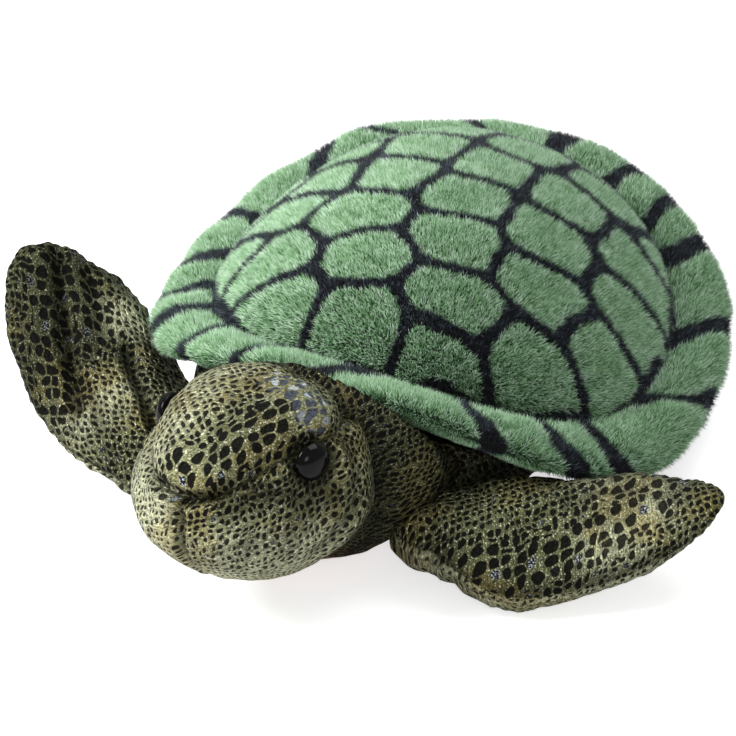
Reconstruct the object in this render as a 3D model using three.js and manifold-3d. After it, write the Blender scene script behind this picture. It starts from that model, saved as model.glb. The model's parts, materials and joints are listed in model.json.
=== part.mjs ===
// A stuffed sea turtle: a plush shell with a padded rim, on a sewn torso with a head, flippers and a tail.
// Millimetres, +Z up, the head points along -Y, and the origin is the middle of the flat belly on the floor.
import * as THREE from "three";
import { mergeVertices } from "three/addons/utils/BufferGeometryUtils.js";
import Module from "manifold-3d";

const wasm = await Module();
wasm.setup();

// Cloth and gaps
const clothThickness = 1.2;
const plushThickness = 1.8;
const seamGap = 0.3;
const seatGap = 0.6;
const wideGap = 0.9;
const movingGap = 0.8;
const cutOverrun = 40;

// Shell
const shellLength = 206;
const shellWidth = 190;
const shellTaperShare = 0.03;
const shellPlanPower = 2.3;
const shellSeatHeight = 54.5;
const shellSideDroop = 31;
const shellPitchDegrees = 2.6;
const shellLeanDegrees = 8.5;
const domeHeight = 29;
const domePower = 2.3;

// Rim, a stuffed roll round the shell
const rimWidth = 22;
const rimThickness = 12;
const rimRootShare = 0.55;
const rimFullShare = 0.36;
const rimFlare = 9;

// Torso, which lies turned under the shell and carries the limbs and the head with it
const torsoTurnDegrees = -8;
const torsoHalfWidth = 62;
const torsoHalfLength = 97;
const torsoTopHalfHeight = 40;
const torsoBottomHalfHeight = 28.5;
const torsoMidHeight = 28;
const torsoForward = 9;
const torsoPlanPower = 2.6;
const torsoUprightPower = 2.7;
const bellySeamHeight = 11;

// Pellet bag in the belly
const pelletBagHalfWidth = 32;
const pelletBagHalfLength = 40;
const pelletBagHeight = 14;
const pelletBagPower = 2.4;

// Neck, a stuffed cap that cups the back of the head, about the middle that the head turns and nods on
const neckInnerRadius = 34.5;
const neckThickness = 6.5;
const neckHalfAngleDegrees = 52;
const neckSideways = 2;
const neckForward = 119;
const neckHeight = 38;

// Head
const headHalfWidth = 35;
const headFrontHalfLength = 41;
const headBackHalfLength = 30;
const headTopHalfHeight = 30;
const headBottomHalfHeight = 29.5;
const headReach = 4;
const headPlanPower = 2.25;
const headUprightPower = 2.2;
const headTurnDegrees = -7;
const muzzleNarrowShare = 0.12;
const napeNarrowShare = 0.1;
const browSeamRise = 21;
const browSeamForward = 12;
const noseSeamRise = 9;
const browEaseShare = 0.25;

// How far the neck nods on the torso and the head turns in the neck, to both sides of rest
const nodStepsDegrees = [-3, 0, 6];
const turnStepsDegrees = [-6, 0, 10, 20];

// Safety eyes
const eyeRadius = 6;
const eyeDomeHeight = 3.6;
const eyeCollarHeight = 1;
const eyeShankRadius = 1.8;
const eyeShankLength = 12;
const eyeWasherRadius = 6.5;
const eyeWasherSetback = 2;
const eyeWasherThickness = 1.4;
const eyeForwardDegrees = 14;
const eyePolarDegrees = 57;
const eyeNudgeDegrees = 1;

// Flippers and tail: the hinge lies at the root, and the blade grows outwards from it
const frontFlipper = {
  span: 91,
  rootHalfChord: 20,
  rootHalfThickness: 10.8,
  chordGrowthShare: 0.3,
  tipNarrowShare: 0.2,
  thinningShare: 0.42,
  tipPower: 5,
  sweepBack: 6,
  sag: 6,
  tipLift: 12,
  sideways: 47,
  forward: 102,
  height: 15.9,
  rings: 11,
  sides: 14,
};
const rearFlipper = {
  span: 48,
  rootHalfChord: 15,
  rootHalfThickness: 8.5,
  chordGrowthShare: 0.3,
  tipNarrowShare: 0,
  thinningShare: 0.4,
  tipPower: 4,
  sweepBack: 2,
  sag: 2,
  tipLift: 1,
  sideways: 31,
  forward: -70,
  height: 14,
  rings: 8,
  sides: 10,
};
const tail = {
  span: 26,
  rootHalfChord: 9,
  rootHalfThickness: 6,
  chordGrowthShare: 0,
  tipNarrowShare: 0.5,
  thinningShare: 0.5,
  tipPower: 2.5,
  sweepBack: 0,
  sag: 1,
  tipLift: 0,
  sideways: 0,
  forward: -86,
  height: 15,
  rings: 6,
  sides: 8,
};
const frontLeftSweepDegrees = 30;
const frontRightSweepDegrees = 18;
const frontRightRaiseDegrees = 27;
const frontTiltDegrees = 16;
const rearSweepDegrees = 66;
const tailSweepDegrees = 90;
const limbFullShare = 0.33;
const thinLimbHalf = 4;
const rootSeatShare = 0.235;
const rootSeatMargin = 1.8;

// Facets
const shellSides = 36;
const domeRings = 6;
const sheetRings = 4;
const rimSteps = 5;
const torsoSides = 20;
const torsoRings = 10;
const headSides = 24;
const headRings = 14;
const gussetSteps = 7;
const neckSides = 18;
const neckRings = 10;
const socketSides = 12;
const socketRings = 6;
const neckCapRings = 4;
const pelletSides = 16;
const pelletRings = 8;
const eyeSides = 16;
const eyeDomeSteps = 4;

// Colours
const plushGreen = new THREE.MeshStandardMaterial({ color: 0x5e8a5c, roughness: 0.95 });
const scaleCloth = new THREE.MeshStandardMaterial({ color: 0x6b6238, roughness: 0.45, metalness: 0.35 });
const bellyCloth = new THREE.MeshStandardMaterial({ color: 0xc08a52, roughness: 0.85 });
const liningCloth = new THREE.MeshStandardMaterial({ color: 0x6f6a58, roughness: 0.9 });
const fibre = new THREE.MeshStandardMaterial({ color: 0xf1efe8, roughness: 1 });
const pellets = new THREE.MeshStandardMaterial({ color: 0xcfc8b4, roughness: 0.8 });
const eyeBlack = new THREE.MeshStandardMaterial({ color: 0x050506, roughness: 0.08 });
const washerWhite = new THREE.MeshStandardMaterial({ color: 0xdedede, roughness: 0.5 });

const radians = THREE.MathUtils.degToRad;
const vector = (x, y, z) => new THREE.Vector3(x, y, z);
const fullTurn = 2 * Math.PI;
const fillingInset = clothThickness + seamGap;
const plushFillingInset = plushThickness + seamGap;

// Steps from 0 to 1 that lie closer together near both ends
const easedShares = (count) =>
  Array.from({ length: count - 1 }, (_, i) => (1 - Math.cos((Math.PI * (i + 1)) / count)) / 2);

// A geometry's bare surface, with the points that its faces share made one
function welded(geometry) {
  const bare = new THREE.BufferGeometry();
  bare.setAttribute("position", geometry.getAttribute("position"));
  bare.setIndex(geometry.index);
  return mergeVertices(bare);
}

// Turns the faces of a closed surface outwards
function facingOut(geometry) {
  const index = geometry.index.array;
  const corners = [vector(), vector(), vector()];
  let volume = 0;
  for (let i = 0; i < index.length; i += 3) {
    corners.forEach((corner, k) => corner.fromBufferAttribute(geometry.attributes.position, index[i + k]));
    volume += corners[0].dot(corners[1].cross(corners[2]));
  }
  if (volume < 0) {
    geometry.setIndex(Array.from(index).reverse());
  }
  return geometry;
}

// Skins rings of points, all of one length, into a closed surface with a pole at each end
function loft(firstPole, rings, lastPole) {
  const sides = rings[0].length;
  const points = [firstPole, ...rings.flat(), lastPole];
  const at = (ring, side) => 1 + ring * sides + (side % sides);
  const faces = [];
  for (let side = 0; side < sides; side += 1) {
    faces.push(0, at(0, side + 1), at(0, side));
    faces.push(points.length - 1, at(rings.length - 1, side), at(rings.length - 1, side + 1));
    for (let ring = 0; ring + 1 < rings.length; ring += 1) {
      faces.push(at(ring, side), at(ring, side + 1), at(ring + 1, side + 1));
      faces.push(at(ring, side), at(ring + 1, side + 1), at(ring + 1, side));
    }
  }
  return facingOut(new THREE.BufferGeometry().setFromPoints(points).setIndex(faces));
}

// Skins closed sections, one for each step round a loop, into a ring-shaped surface
function loop(sections) {
  const sides = sections[0].length;
  const at = (section, side) => (section % sections.length) * sides + (side % sides);
  const faces = [];
  for (let section = 0; section < sections.length; section += 1) {
    for (let side = 0; side < sides; side += 1) {
      faces.push(at(section, side), at(section + 1, side), at(section + 1, side + 1));
      faces.push(at(section, side), at(section + 1, side + 1), at(section, side + 1));
    }
  }
  return facingOut(new THREE.BufferGeometry().setFromPoints(sections.flat()).setIndex(faces));
}

// A round form whose unit ball's points are carried to their places, with poles at the top and bottom
function roundForm(sides, rings, place) {
  const ringPoints = [];
  for (let ring = 1; ring < rings; ring += 1) {
    const polar = (Math.PI * ring) / rings;
    const points = [];
    for (let side = 0; side < sides; side += 1) {
      const turn = (fullTurn * side) / sides;
      points.push(place(polar, turn));
    }
    ringPoints.push(points);
  }
  return loft(place(0, 0), ringPoints, place(Math.PI, 0));
}

const bulge = (value, power) => Math.sign(value) * Math.abs(value) ** (2 / power);

// A closed geometry as a solid that can be joined and cut
function solid(geometry) {
  const merged = welded(geometry);
  return new wasm.Manifold(
    new wasm.Mesh({
      numProp: 3,
      vertProperties: new Float32Array(merged.attributes.position.array),
      triVerts: new Uint32Array(merged.index.array),
    }),
  );
}

// The main body of a solid as a geometry
function mainBodyOf(manifold) {
  const bodies = manifold.decompose();
  bodies.sort((a, b) => b.volume() - a.volume());
  const mesh = bodies[0].getMesh();
  const geometry = new THREE.BufferGeometry();
  geometry.setAttribute("position", new THREE.BufferAttribute(new Float32Array(mesh.vertProperties), 3));
  geometry.setIndex(new THREE.BufferAttribute(new Uint32Array(mesh.triVerts), 1));
  return geometry;
}

// The same without any crumbs that a cut leaves, nor those that come when its near points are welded
function geometryOf(manifold) {
  return mainBodyOf(solid(mainBodyOf(manifold)));
}

// A copy of a geometry with each point carried to a new place
function carried(geometry, place) {
  const moved = welded(geometry);
  const positions = moved.attributes.position;
  const point = vector();
  for (let i = 0; i < positions.count; i += 1) {
    const next = place(point.fromBufferAttribute(positions, i));
    positions.setXYZ(i, next.x, next.y, next.z);
  }
  return facingOut(moved);
}

function box(low, high) {
  const size = vector().subVectors(high, low);
  const centre = vector().addVectors(low, high).divideScalar(2);
  return new THREE.BoxGeometry(size.x, size.y, size.z).translate(centre.x, centre.y, centre.z);
}

const turtle = new THREE.Group();
turtle.name = "plush_turtle";

function addPart(name, geometry, material) {
  geometry.computeVertexNormals();
  const mesh = new THREE.Mesh(geometry, material);
  mesh.name = name;
  turtle.add(mesh);
}

// Shell

// The sheet that the shell is built on pitches, leans and hangs lower at its sides
function seatHeight(x, y) {
  const pitched = y * Math.tan(radians(shellPitchDegrees));
  const leaned = x * Math.tan(radians(shellLeanDegrees));
  const droop = shellSideDroop * (x / (shellWidth / 2)) ** 2;
  return shellSeatHeight + pitched - leaned - droop;
}

// The shell's plan outline, drawn in by an inset
function outlinePoint(turn, inset) {
  const along = bulge(Math.sin(turn), shellPlanPower);
  const across = bulge(Math.cos(turn), shellPlanPower);
  const taper = 1 - shellTaperShare * along;
  return new THREE.Vector2((shellWidth / 2 - inset) * across * taper, (shellLength / 2 - inset) * along);
}

const shellTurns = Array.from({ length: shellSides }, (_, side) => (fullTurn * side) / shellSides);

// A ring on the seat sheet, a share of the way out to the seam, with its own height above the sheet
function seatRing(share, edgeInset, height) {
  return shellTurns.map((turn) => {
    const edge = outlinePoint(turn, rimWidth + edgeInset).multiplyScalar(share);
    return vector(edge.x, edge.y, seatHeight(edge.x, edge.y) + height);
  });
}

function domeSurface(inset) {
  const rings = [];
  for (let ring = 1; ring <= domeRings; ring += 1) {
    const share = Math.sin((Math.PI * ring) / (2 * domeRings));
    const rise = (domeHeight - inset) * (1 - share ** domePower) ** (1 / domePower);
    rings.push(seatRing(share, inset, rise));
  }
  return rings;
}

const domePole = (inset) => vector(0, 0, seatHeight(0, 0) + domeHeight - inset);
const domeCover = loft(
  domePole(0),
  [...domeSurface(0), ...domeSurface(plushThickness).reverse()],
  domePole(plushThickness),
);
addPart("shell_dome_cover", domeCover, plushGreen);

// Rings of the seat sheet, from its middle out to the seam
function seatRings(edgeInset, height) {
  const shares = Array.from({ length: sheetRings }, (_, ring) => (ring + 1) / sheetRings);
  return shares.map((share) => seatRing(share, edgeInset, height));
}

const seatPole = (height) => vector(0, 0, seatHeight(0, 0) + height);
const fillingBase = seatRings(plushFillingInset, 0).reverse().slice(1);
const domeFilling = loft(
  domePole(plushFillingInset),
  [...domeSurface(plushFillingInset), ...fillingBase],
  seatPole(0),
);
addPart("shell_filling", domeFilling, fibre);

const liningTop = -seatGap;
const liningBottom = liningTop - clothThickness;
const shellLining = loft(
  seatPole(liningTop),
  [...seatRings(0, liningTop), ...seatRings(0, liningBottom).reverse()],
  seatPole(liningBottom),
);
addPart("shell_base_lining", shellLining, liningCloth);

// Half of the rim's section, from the seam at the dome out to the edge, above or below the seat
function rimArc(turn, side, inset) {
  const rootInset = rimWidth - seamGap - inset;
  const points = [];
  for (let step = 0; step <= rimSteps; step += 1) {
    const share = Math.sin(((Math.PI / 2) * step) / rimSteps);
    const fullness =
      share < rimFullShare
        ? rimRootShare + (1 - rimRootShare) * Math.sin(((Math.PI / 2) * share) / rimFullShare)
        : Math.sqrt(1 - ((share - rimFullShare) / (1 - rimFullShare)) ** 2);
    const edgeInset = rootInset + (inset - rootInset) * share;
    const edge = outlinePoint(turn, edgeInset);
    const flare = rimFlare * (1 - edgeInset / rimWidth);
    const height = flare + side * ((rimThickness / 2 - inset) * fullness + seamGap / 2);
    points.push(vector(edge.x, edge.y, seatHeight(edge.x, edge.y) + height));
  }
  return points;
}

const rimPanel = (side) =>
  loop(shellTurns.map((turn) => [...rimArc(turn, side, 0), ...rimArc(turn, side, plushThickness).reverse()]));
addPart("rim_top_panel", rimPanel(1), plushGreen);
addPart("rim_under_panel", rimPanel(-1), plushGreen);
const waddingInset = plushThickness + wideGap;
const wadding = loop(
  shellTurns.map((turn) => [...rimArc(turn, 1, waddingInset), ...rimArc(turn, -1, waddingInset).reverse()]),
);
addPart("rim_wadding", wadding, fibre);

// Everything from the shell's underside up, which cuts the pieces that tuck in below it
function shellEnvelope(gap) {
  const rings = seatRings(0, liningBottom - gap);
  const underArcs = shellTurns.map((turn) => rimArc(turn, -1, 0));
  for (let step = 0; step <= rimSteps; step += 1) {
    rings.push(underArcs.map((arc) => vector(arc[step].x, arc[step].y, arc[step].z - gap)));
  }
  const grown = 1 + (2 * gap) / shellWidth;
  const edge = rings[rings.length - 1].map((point) => vector(point.x * grown, point.y * grown, point.z));
  const above = domeHeight + shellSeatHeight + cutOverrun;
  rings.push(edge, edge.map((point) => vector(point.x, point.y, above)));
  return solid(loft(seatPole(liningBottom - gap), rings, vector(0, 0, above)));
}

// The torso's own frame, in which it points along -Y, turned to where it lies under the shell
const torsoTurn = (point) => point.applyAxisAngle(vector(0, 0, 1), radians(torsoTurnDegrees));

// Flippers and tail

// A limb's place: its span, leading edge and upper side as directions, and the middle of its hinge
function limbFrame(limb, side, sweepDegrees, raiseDegrees, tiltDegrees) {
  const sweep = radians(sweepDegrees);
  const tilt = radians(tiltDegrees);
  const raise = radians(raiseDegrees);
  const outward = vector(side * Math.cos(sweep), Math.sin(sweep), 0);
  const up = vector(0, 0, 1);
  const forward = vector(side * Math.sin(sweep), -Math.cos(sweep), 0);
  const raised = up.clone().multiplyScalar(Math.cos(raise)).addScaledVector(outward, -Math.sin(raise));
  return {
    hinge: vector(side * limb.sideways, -limb.forward, limb.height),
    span: outward.clone().multiplyScalar(Math.cos(raise)).addScaledVector(up, Math.sin(raise)),
    leading: forward.clone().multiplyScalar(Math.cos(tilt)).addScaledVector(raised, -Math.sin(tilt)),
    upper: raised.clone().multiplyScalar(Math.cos(tilt)).addScaledVector(forward, Math.sin(tilt)),
  };
}

function placed(frame, point) {
  return torsoTurn(
    frame.hinge
      .clone()
      .addScaledVector(frame.span, point.x)
      .addScaledVector(frame.leading, point.y)
      .addScaledVector(frame.upper, point.z),
  );
}

// The straight limb, along x with its leading edge towards y, drawn in by an inset
function straightLimb(limb, inset) {
  const root = limb.rootHalfThickness;
  const drawnIn = (half) => (half > thinLimbHalf ? half - inset : half * (1 - inset / thinLimbHalf));
  const rings = easedShares(limb.rings).map((share) => {
    const along = share * (limb.span + root) - root;
    const out = Math.max(along / limb.span, 0);
    const end = along < 0 ? Math.sqrt(1 - (along / root) ** 2) : Math.sqrt(1 - out ** limb.tipPower);
    const growth = 1 + limb.chordGrowthShare * Math.sin((Math.PI / 2) * Math.min(out / limbFullShare, 1));
    const narrowing = 1 - limb.tipNarrowShare * out ** 2;
    const halfChord = drawnIn(limb.rootHalfChord * growth * narrowing * end);
    const halfThickness = drawnIn(root * (1 - limb.thinningShare * out) * end);
    const x = along * (1 - inset / (along < 0 ? root : limb.span));
    return Array.from({ length: limb.sides }, (_, side) => {
      const turn = (fullTurn * side) / limb.sides;
      return vector(x, halfChord * Math.cos(turn), halfThickness * Math.sin(turn));
    });
  });
  return loft(vector(inset - root, 0, 0), rings, vector(limb.span - inset, 0, 0));
}

// Where the bent limb holds a point of the straight one: it sags most halfway out
function bent(limb, point) {
  const out = Math.max(point.x / limb.span, 0);
  const height = limb.tipLift * out ** 2 - limb.sag * Math.sin(Math.PI * Math.min(out, 1));
  return vector(point.x, point.y - limb.sweepBack * out ** 2, point.z + height);
}

function addLimb(name, limb, frame, clothNames) {
  const skin = solid(straightLimb(limb, 0)).subtract(solid(straightLimb(limb, clothThickness)));
  const reach = limb.span + cutOverrun;
  const halves = {
    top: box(vector(-reach, -reach, seamGap / 2), vector(reach, reach, reach)),
    under: box(vector(-reach, -reach, -reach), vector(reach, reach, -seamGap / 2)),
  };
  const place = (point) => placed(frame, bent(limb, point));
  for (const [half, clothName] of Object.entries(clothNames)) {
    const cloth = skin.intersect(solid(halves[half]));
    addPart(`${name}_${clothName}`, carried(geometryOf(cloth), place), scaleCloth);
  }
  addPart(`${name}_filling`, carried(straightLimb(limb, fillingInset), place), fibre);
}

// The space that a limb's round root needs in the torso, with a margin round it: a ball if the limb sweeps
function limbSocket({ limb, frame, sweeps }, margin) {
  const half = vector(
    (sweeps ? limb.rootHalfChord : limb.rootHalfThickness) + margin,
    limb.rootHalfChord + margin,
    (sweeps ? limb.rootHalfChord : limb.rootHalfThickness) + margin,
  );
  const socket = roundForm(socketSides, socketRings, (polar, turn) =>
    placed(frame, vector(
      half.x * Math.sin(polar) * Math.sin(turn),
      half.y * Math.cos(polar),
      half.z * Math.sin(polar) * Math.cos(turn),
    )),
  );
  const wide = limb.rootHalfChord * (1 + limb.chordGrowthShare) + margin + rootSeatMargin;
  const thick = limb.rootHalfThickness + margin + rootSeatMargin;
  const seat = carried(
    box(
      vector(0, -wide, -thick),
      vector(limb.span * rootSeatShare, wide, thick),
    ),
    (point) => placed(frame, point),
  );
  return solid(socket).add(solid(seat));
}

const limbs = [
  {
    name: "front_left",
    limb: frontFlipper,
    frame: limbFrame(frontFlipper, 1, frontLeftSweepDegrees, 0, frontTiltDegrees),
    sweeps: true,
  },
  {
    name: "front_right",
    limb: frontFlipper,
    frame: limbFrame(frontFlipper, -1, frontRightSweepDegrees, frontRightRaiseDegrees, frontTiltDegrees),
  },
  { name: "rear_left", limb: rearFlipper, frame: limbFrame(rearFlipper, 1, rearSweepDegrees, 0, 0) },
  { name: "rear_right", limb: rearFlipper, frame: limbFrame(rearFlipper, -1, rearSweepDegrees, 0, 0) },
  { name: "tail", limb: tail, frame: limbFrame(tail, 1, tailSweepDegrees, 0, 0) },
];
for (const { name, limb, frame } of limbs) {
  addLimb(name, limb, frame, { top: "top_cloth", under: "under_cloth" });
}

// Neck

const neckCentre = torsoTurn(vector(neckSideways, -neckForward, neckHeight));
const neckOuterRadius = neckInnerRadius + neckThickness;

// A ball about the neck's middle whose flats lie no nearer than a radius
function neckBall(radius) {
  const reach = radius / (Math.cos(Math.PI / (2 * neckRings)) * Math.cos(Math.PI / neckSides));
  return roundForm(neckSides, neckRings, (polar, turn) =>
    vector(Math.sin(polar) * Math.cos(turn), Math.sin(polar) * Math.sin(turn), Math.cos(polar))
      .multiplyScalar(reach)
      .add(neckCentre),
  );
}

// All of the shell's envelope that a piece meets while it nods and turns about the neck's middle
function sweptEnvelope(gap, nods, turns) {
  const envelope = shellEnvelope(gap);
  const across = torsoTurn(vector(1, 0, 0));
  const poses = nods.flatMap((nod) => turns.map((turn) => {
    const nodded = new THREE.Matrix4().makeRotationAxis(across, radians(nod));
    const turned = new THREE.Matrix4().makeRotationAxis(vector(0, 0, 1), radians(turn));
    const toMiddle = new THREE.Matrix4().makeTranslation(neckCentre);
    const fromMiddle = toMiddle.clone().invert();
    return toMiddle.multiply(nodded).multiply(turned).multiply(fromMiddle).invert();
  }));
  return poses.map((pose) => envelope.transform(pose.elements)).reduce((joined, moved) => joined.add(moved));
}

// The cap behind the head, drawn in by an inset: its section turned about the line through its middle
function neckCap(inset) {
  const reach = radians(neckHalfAngleDegrees) - inset / neckInnerRadius;
  const ring = (radius, share) =>
    Array.from({ length: neckSides }, (_, side) => {
      const turn = (fullTurn * side) / neckSides;
      const away = radius * Math.sin(reach * share);
      const point = vector(away * Math.cos(turn), radius * Math.cos(reach * share), away * Math.sin(turn));
      return torsoTurn(point).add(neckCentre);
    });
  const outer = neckOuterRadius - inset;
  const inner = neckInnerRadius + inset;
  const shares = Array.from({ length: neckCapRings }, (_, i) => (i + 1) / neckCapRings);
  return loft(
    torsoTurn(vector(0, outer, 0)).add(neckCentre),
    [...shares.map((share) => ring(outer, share)), ...shares.toReversed().map((share) => ring(inner, share))],
    torsoTurn(vector(0, inner, 0)).add(neckCentre),
  );
}

// Torso

// The torso's swollen form, drawn in by an inset, before it is cut flat below
function torsoForm(inset) {
  return solid(
    roundForm(torsoSides, torsoRings, (polar, turn) => {
      const level = bulge(Math.sin(polar), torsoUprightPower);
      const height = bulge(Math.cos(polar), torsoUprightPower);
      const halfHeight = height > 0 ? torsoTopHalfHeight : torsoBottomHalfHeight;
      return torsoTurn(vector(
        (torsoHalfWidth - inset) * level * bulge(Math.cos(turn), torsoPlanPower),
        (torsoHalfLength - inset) * level * bulge(Math.sin(turn), torsoPlanPower) - torsoForward,
        torsoMidHeight + (halfHeight - inset) * height,
      ));
    }),
  );
}

const far = torsoHalfLength + cutOverrun;
const slab = (low, high) => solid(box(vector(-far, -far, low), vector(far, far, high)));
const sockets = (margin) =>
  limbs
    .map((limb) => limbSocket(limb, margin))
    .reduce((joined, socket) => joined.add(socket))
    .add(solid(neckBall(neckOuterRadius + margin)));
const aboveFloor = slab(0, far);
const torsoOuter = torsoForm(0).intersect(aboveFloor);
const torsoHollow = torsoForm(clothThickness)
  .intersect(slab(clothThickness, far))
  .subtract(sockets(movingGap + clothThickness));
const torsoSkin = torsoOuter
  .subtract(torsoHollow)
  .subtract(shellEnvelope(seamGap))
  .subtract(sockets(movingGap));
addPart("torso_cloth", geometryOf(torsoSkin.intersect(slab(bellySeamHeight + seamGap / 2, far))), scaleCloth);
addPart("belly_panel", geometryOf(torsoSkin.intersect(slab(0, bellySeamHeight - seamGap / 2))), bellyCloth);

// The pellet bag lies in a hollow of the stuffing, on the belly panel
function pelletForm(grow) {
  return solid(
    roundForm(pelletSides, pelletRings, (polar, turn) => {
      const level = bulge(Math.sin(polar), pelletBagPower);
      const height = bulge(Math.cos(polar), pelletBagPower);
      return torsoTurn(vector(
        (pelletBagHalfWidth + grow) * level * bulge(Math.cos(turn), pelletBagPower),
        (pelletBagHalfLength + grow) * level * bulge(Math.sin(turn), pelletBagPower) - torsoForward,
        fillingInset + pelletBagHeight / 2 + (pelletBagHeight / 2 + grow) * height,
      ));
    }),
  );
}
const torsoFilling = torsoForm(fillingInset)
  .intersect(slab(fillingInset, far))
  .subtract(shellEnvelope(seatGap))
  .subtract(sockets(movingGap + fillingInset))
  .subtract(pelletForm(seamGap));
addPart("torso_filling", geometryOf(torsoFilling), fibre);
addPart("pellet_bag", geometryOf(pelletForm(0)), pellets);

const neckHollow = solid(neckCap(clothThickness));
const neckSkin = solid(neckCap(0))
  .subtract(neckHollow)
  .subtract(sweptEnvelope(movingGap, nodStepsDegrees, [0]))
  .intersect(aboveFloor);
addPart("neck_cloth", geometryOf(neckSkin), scaleCloth);
const neckStuffing = solid(neckCap(fillingInset))
  .subtract(sweptEnvelope(movingGap + fillingInset, nodStepsDegrees, [0]))
  .intersect(aboveFloor);
addPart("neck_filling", geometryOf(neckStuffing), fibre);

// Head

// Turns a direction of the head's own, in which it points along -Y, to where the head is turned
const headTurn = (point) =>
  point.applyAxisAngle(vector(0, 0, 1), radians(torsoTurnDegrees + headTurnDegrees));
const headCentre = headTurn(vector(0, -headReach, 0)).add(neckCentre);
const inHead = (point) => headTurn(point.clone()).add(headCentre);

// A point of the head's swollen form, drawn in by an inset, about the head's middle
function headPoint(polar, turn, inset) {
  const level = bulge(Math.sin(polar), headUprightPower);
  const height = bulge(Math.cos(polar), headUprightPower);
  const along = level * bulge(Math.sin(turn), headPlanPower);
  const across = level * bulge(Math.cos(turn), headPlanPower);
  const narrow = 1 - (along < 0 ? muzzleNarrowShare : napeNarrowShare) * along ** 2;
  const halfLength = along < 0 ? headFrontHalfLength : headBackHalfLength;
  const halfHeight = height > 0 ? headTopHalfHeight : headBottomHalfHeight;
  return vector(
    (headHalfWidth - inset) * across * narrow,
    (halfLength - inset) * along,
    (halfHeight - inset) * height,
  );
}

const headForm = (inset) =>
  solid(roundForm(headSides, headRings, (polar, turn) => headPoint(polar, turn, inset)));

// The side profile of what lies above the gusset's seam, a gap away from it
function gussetCutter(gap) {
  const front = -(headFrontHalfLength + cutOverrun);
  const back = headBackHalfLength + cutOverrun;
  const profile = new THREE.Shape();
  profile.moveTo(front, gap + noseSeamRise);
  profile.lineTo(-headFrontHalfLength, gap + noseSeamRise);
  const easing = -browSeamForward - headFrontHalfLength * browEaseShare;
  profile.quadraticCurveTo(easing, gap + browSeamRise, gap - browSeamForward, gap + browSeamRise);
  profile.lineTo(back, gap + browSeamRise);
  profile.lineTo(back, headTopHalfHeight + cutOverrun);
  profile.lineTo(front, headTopHalfHeight + cutOverrun);
  profile.closePath();
  const wide = headHalfWidth + cutOverrun;
  const options = { depth: 2 * wide, bevelEnabled: false, curveSegments: gussetSteps };
  const block = new THREE.ExtrudeGeometry(profile, options);
  return solid(carried(block, (point) => vector(wide - point.z, point.x, point.y)));
}

// An eye's own frame: the point of the cloth that it stands on, and the way that it faces
function eyeFrame(side) {
  const turn = side > 0 ? -radians(eyeForwardDegrees) : Math.PI + radians(eyeForwardDegrees);
  const polar = radians(eyePolarDegrees);
  const nudge = radians(eyeNudgeDegrees);
  const centre = headPoint(polar, turn, 0);
  const down = headPoint(polar + nudge, turn, 0).sub(centre);
  const round = headPoint(polar, turn + nudge, 0).sub(centre);
  const facing = down.cross(round).normalize();
  return { centre, facing };
}

// A turned piece, drawn as a profile of radius and height, standing on an eye's frame
function turnedOn(frame, profile, sides) {
  const outline = profile.map(([radius, height]) => new THREE.Vector2(radius, height));
  const lathe = new THREE.LatheGeometry(outline, sides);
  const stand = new THREE.Quaternion().setFromUnitVectors(vector(0, 1, 0), frame.facing);
  return carried(lathe, (point) => point.applyQuaternion(stand).add(frame.centre));
}

const domeProfile = Array.from({ length: eyeDomeSteps + 1 }, (_, step) => {
  const angle = (Math.PI / 2) * (1 - step / eyeDomeSteps);
  return [eyeRadius * Math.sin(angle), seamGap + eyeCollarHeight + eyeDomeHeight * Math.cos(angle)];
});
domeProfile[eyeDomeSteps][0] = 0;
const eyeProfile = [
  [0, -eyeShankLength],
  [eyeShankRadius, -eyeShankLength],
  [eyeShankRadius, seamGap],
  [eyeRadius, seamGap],
  ...domeProfile,
];
const washerTop = -(clothThickness + eyeWasherSetback);
const washerProfile = [
  [eyeShankRadius + seamGap, washerTop],
  [eyeWasherRadius, washerTop],
  [eyeWasherRadius, washerTop - eyeWasherThickness],
  [eyeShankRadius + seamGap, washerTop - eyeWasherThickness],
  [eyeShankRadius + seamGap, washerTop],
];
const shankHole = [
  [0, -eyeShankLength - seamGap],
  [eyeShankRadius + seamGap, -eyeShankLength - seamGap],
  [eyeShankRadius + seamGap, cutOverrun],
  [0, cutOverrun],
];
const washerHole = [
  [0, washerTop - eyeWasherThickness - seamGap],
  [eyeWasherRadius + seamGap, washerTop - eyeWasherThickness - seamGap],
  [eyeWasherRadius + seamGap, cutOverrun],
  [0, cutOverrun],
];

const headPlaced = (manifold) => solid(carried(geometryOf(manifold), inHead));
const eyes = { left: eyeFrame(1), right: eyeFrame(-1) };
let headSkin = headForm(0).subtract(headForm(clothThickness));
let stuffing = headForm(fillingInset);
for (const frame of Object.values(eyes)) {
  headSkin = headSkin.subtract(solid(turnedOn(frame, shankHole, eyeSides)));
  stuffing = stuffing
    .subtract(solid(turnedOn(frame, shankHole, eyeSides)))
    .subtract(solid(turnedOn(frame, washerHole, eyeSides)));
}
const headFar = headFrontHalfLength + cutOverrun;
const leftHalf = solid(box(vector(seamGap / 2, -headFar, -headFar), vector(headFar, headFar, headFar)));
const rightHalf = solid(box(vector(-headFar, -headFar, -headFar), vector(-seamGap / 2, headFar, headFar)));
const sides = headSkin.subtract(gussetCutter(-seamGap / 2));
const headPieces = {
  head_top_gusset: [headSkin.intersect(gussetCutter(seamGap / 2)), scaleCloth],
  head_side_left: [sides.intersect(leftHalf), scaleCloth],
  head_side_right: [sides.intersect(rightHalf), scaleCloth],
  head_filling: [stuffing, fibre],
};
const headClearance = sweptEnvelope(movingGap, nodStepsDegrees, turnStepsDegrees);
for (const [name, [piece, material]] of Object.entries(headPieces)) {
  addPart(name, geometryOf(headPlaced(piece).subtract(headClearance)), material);
}
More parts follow.
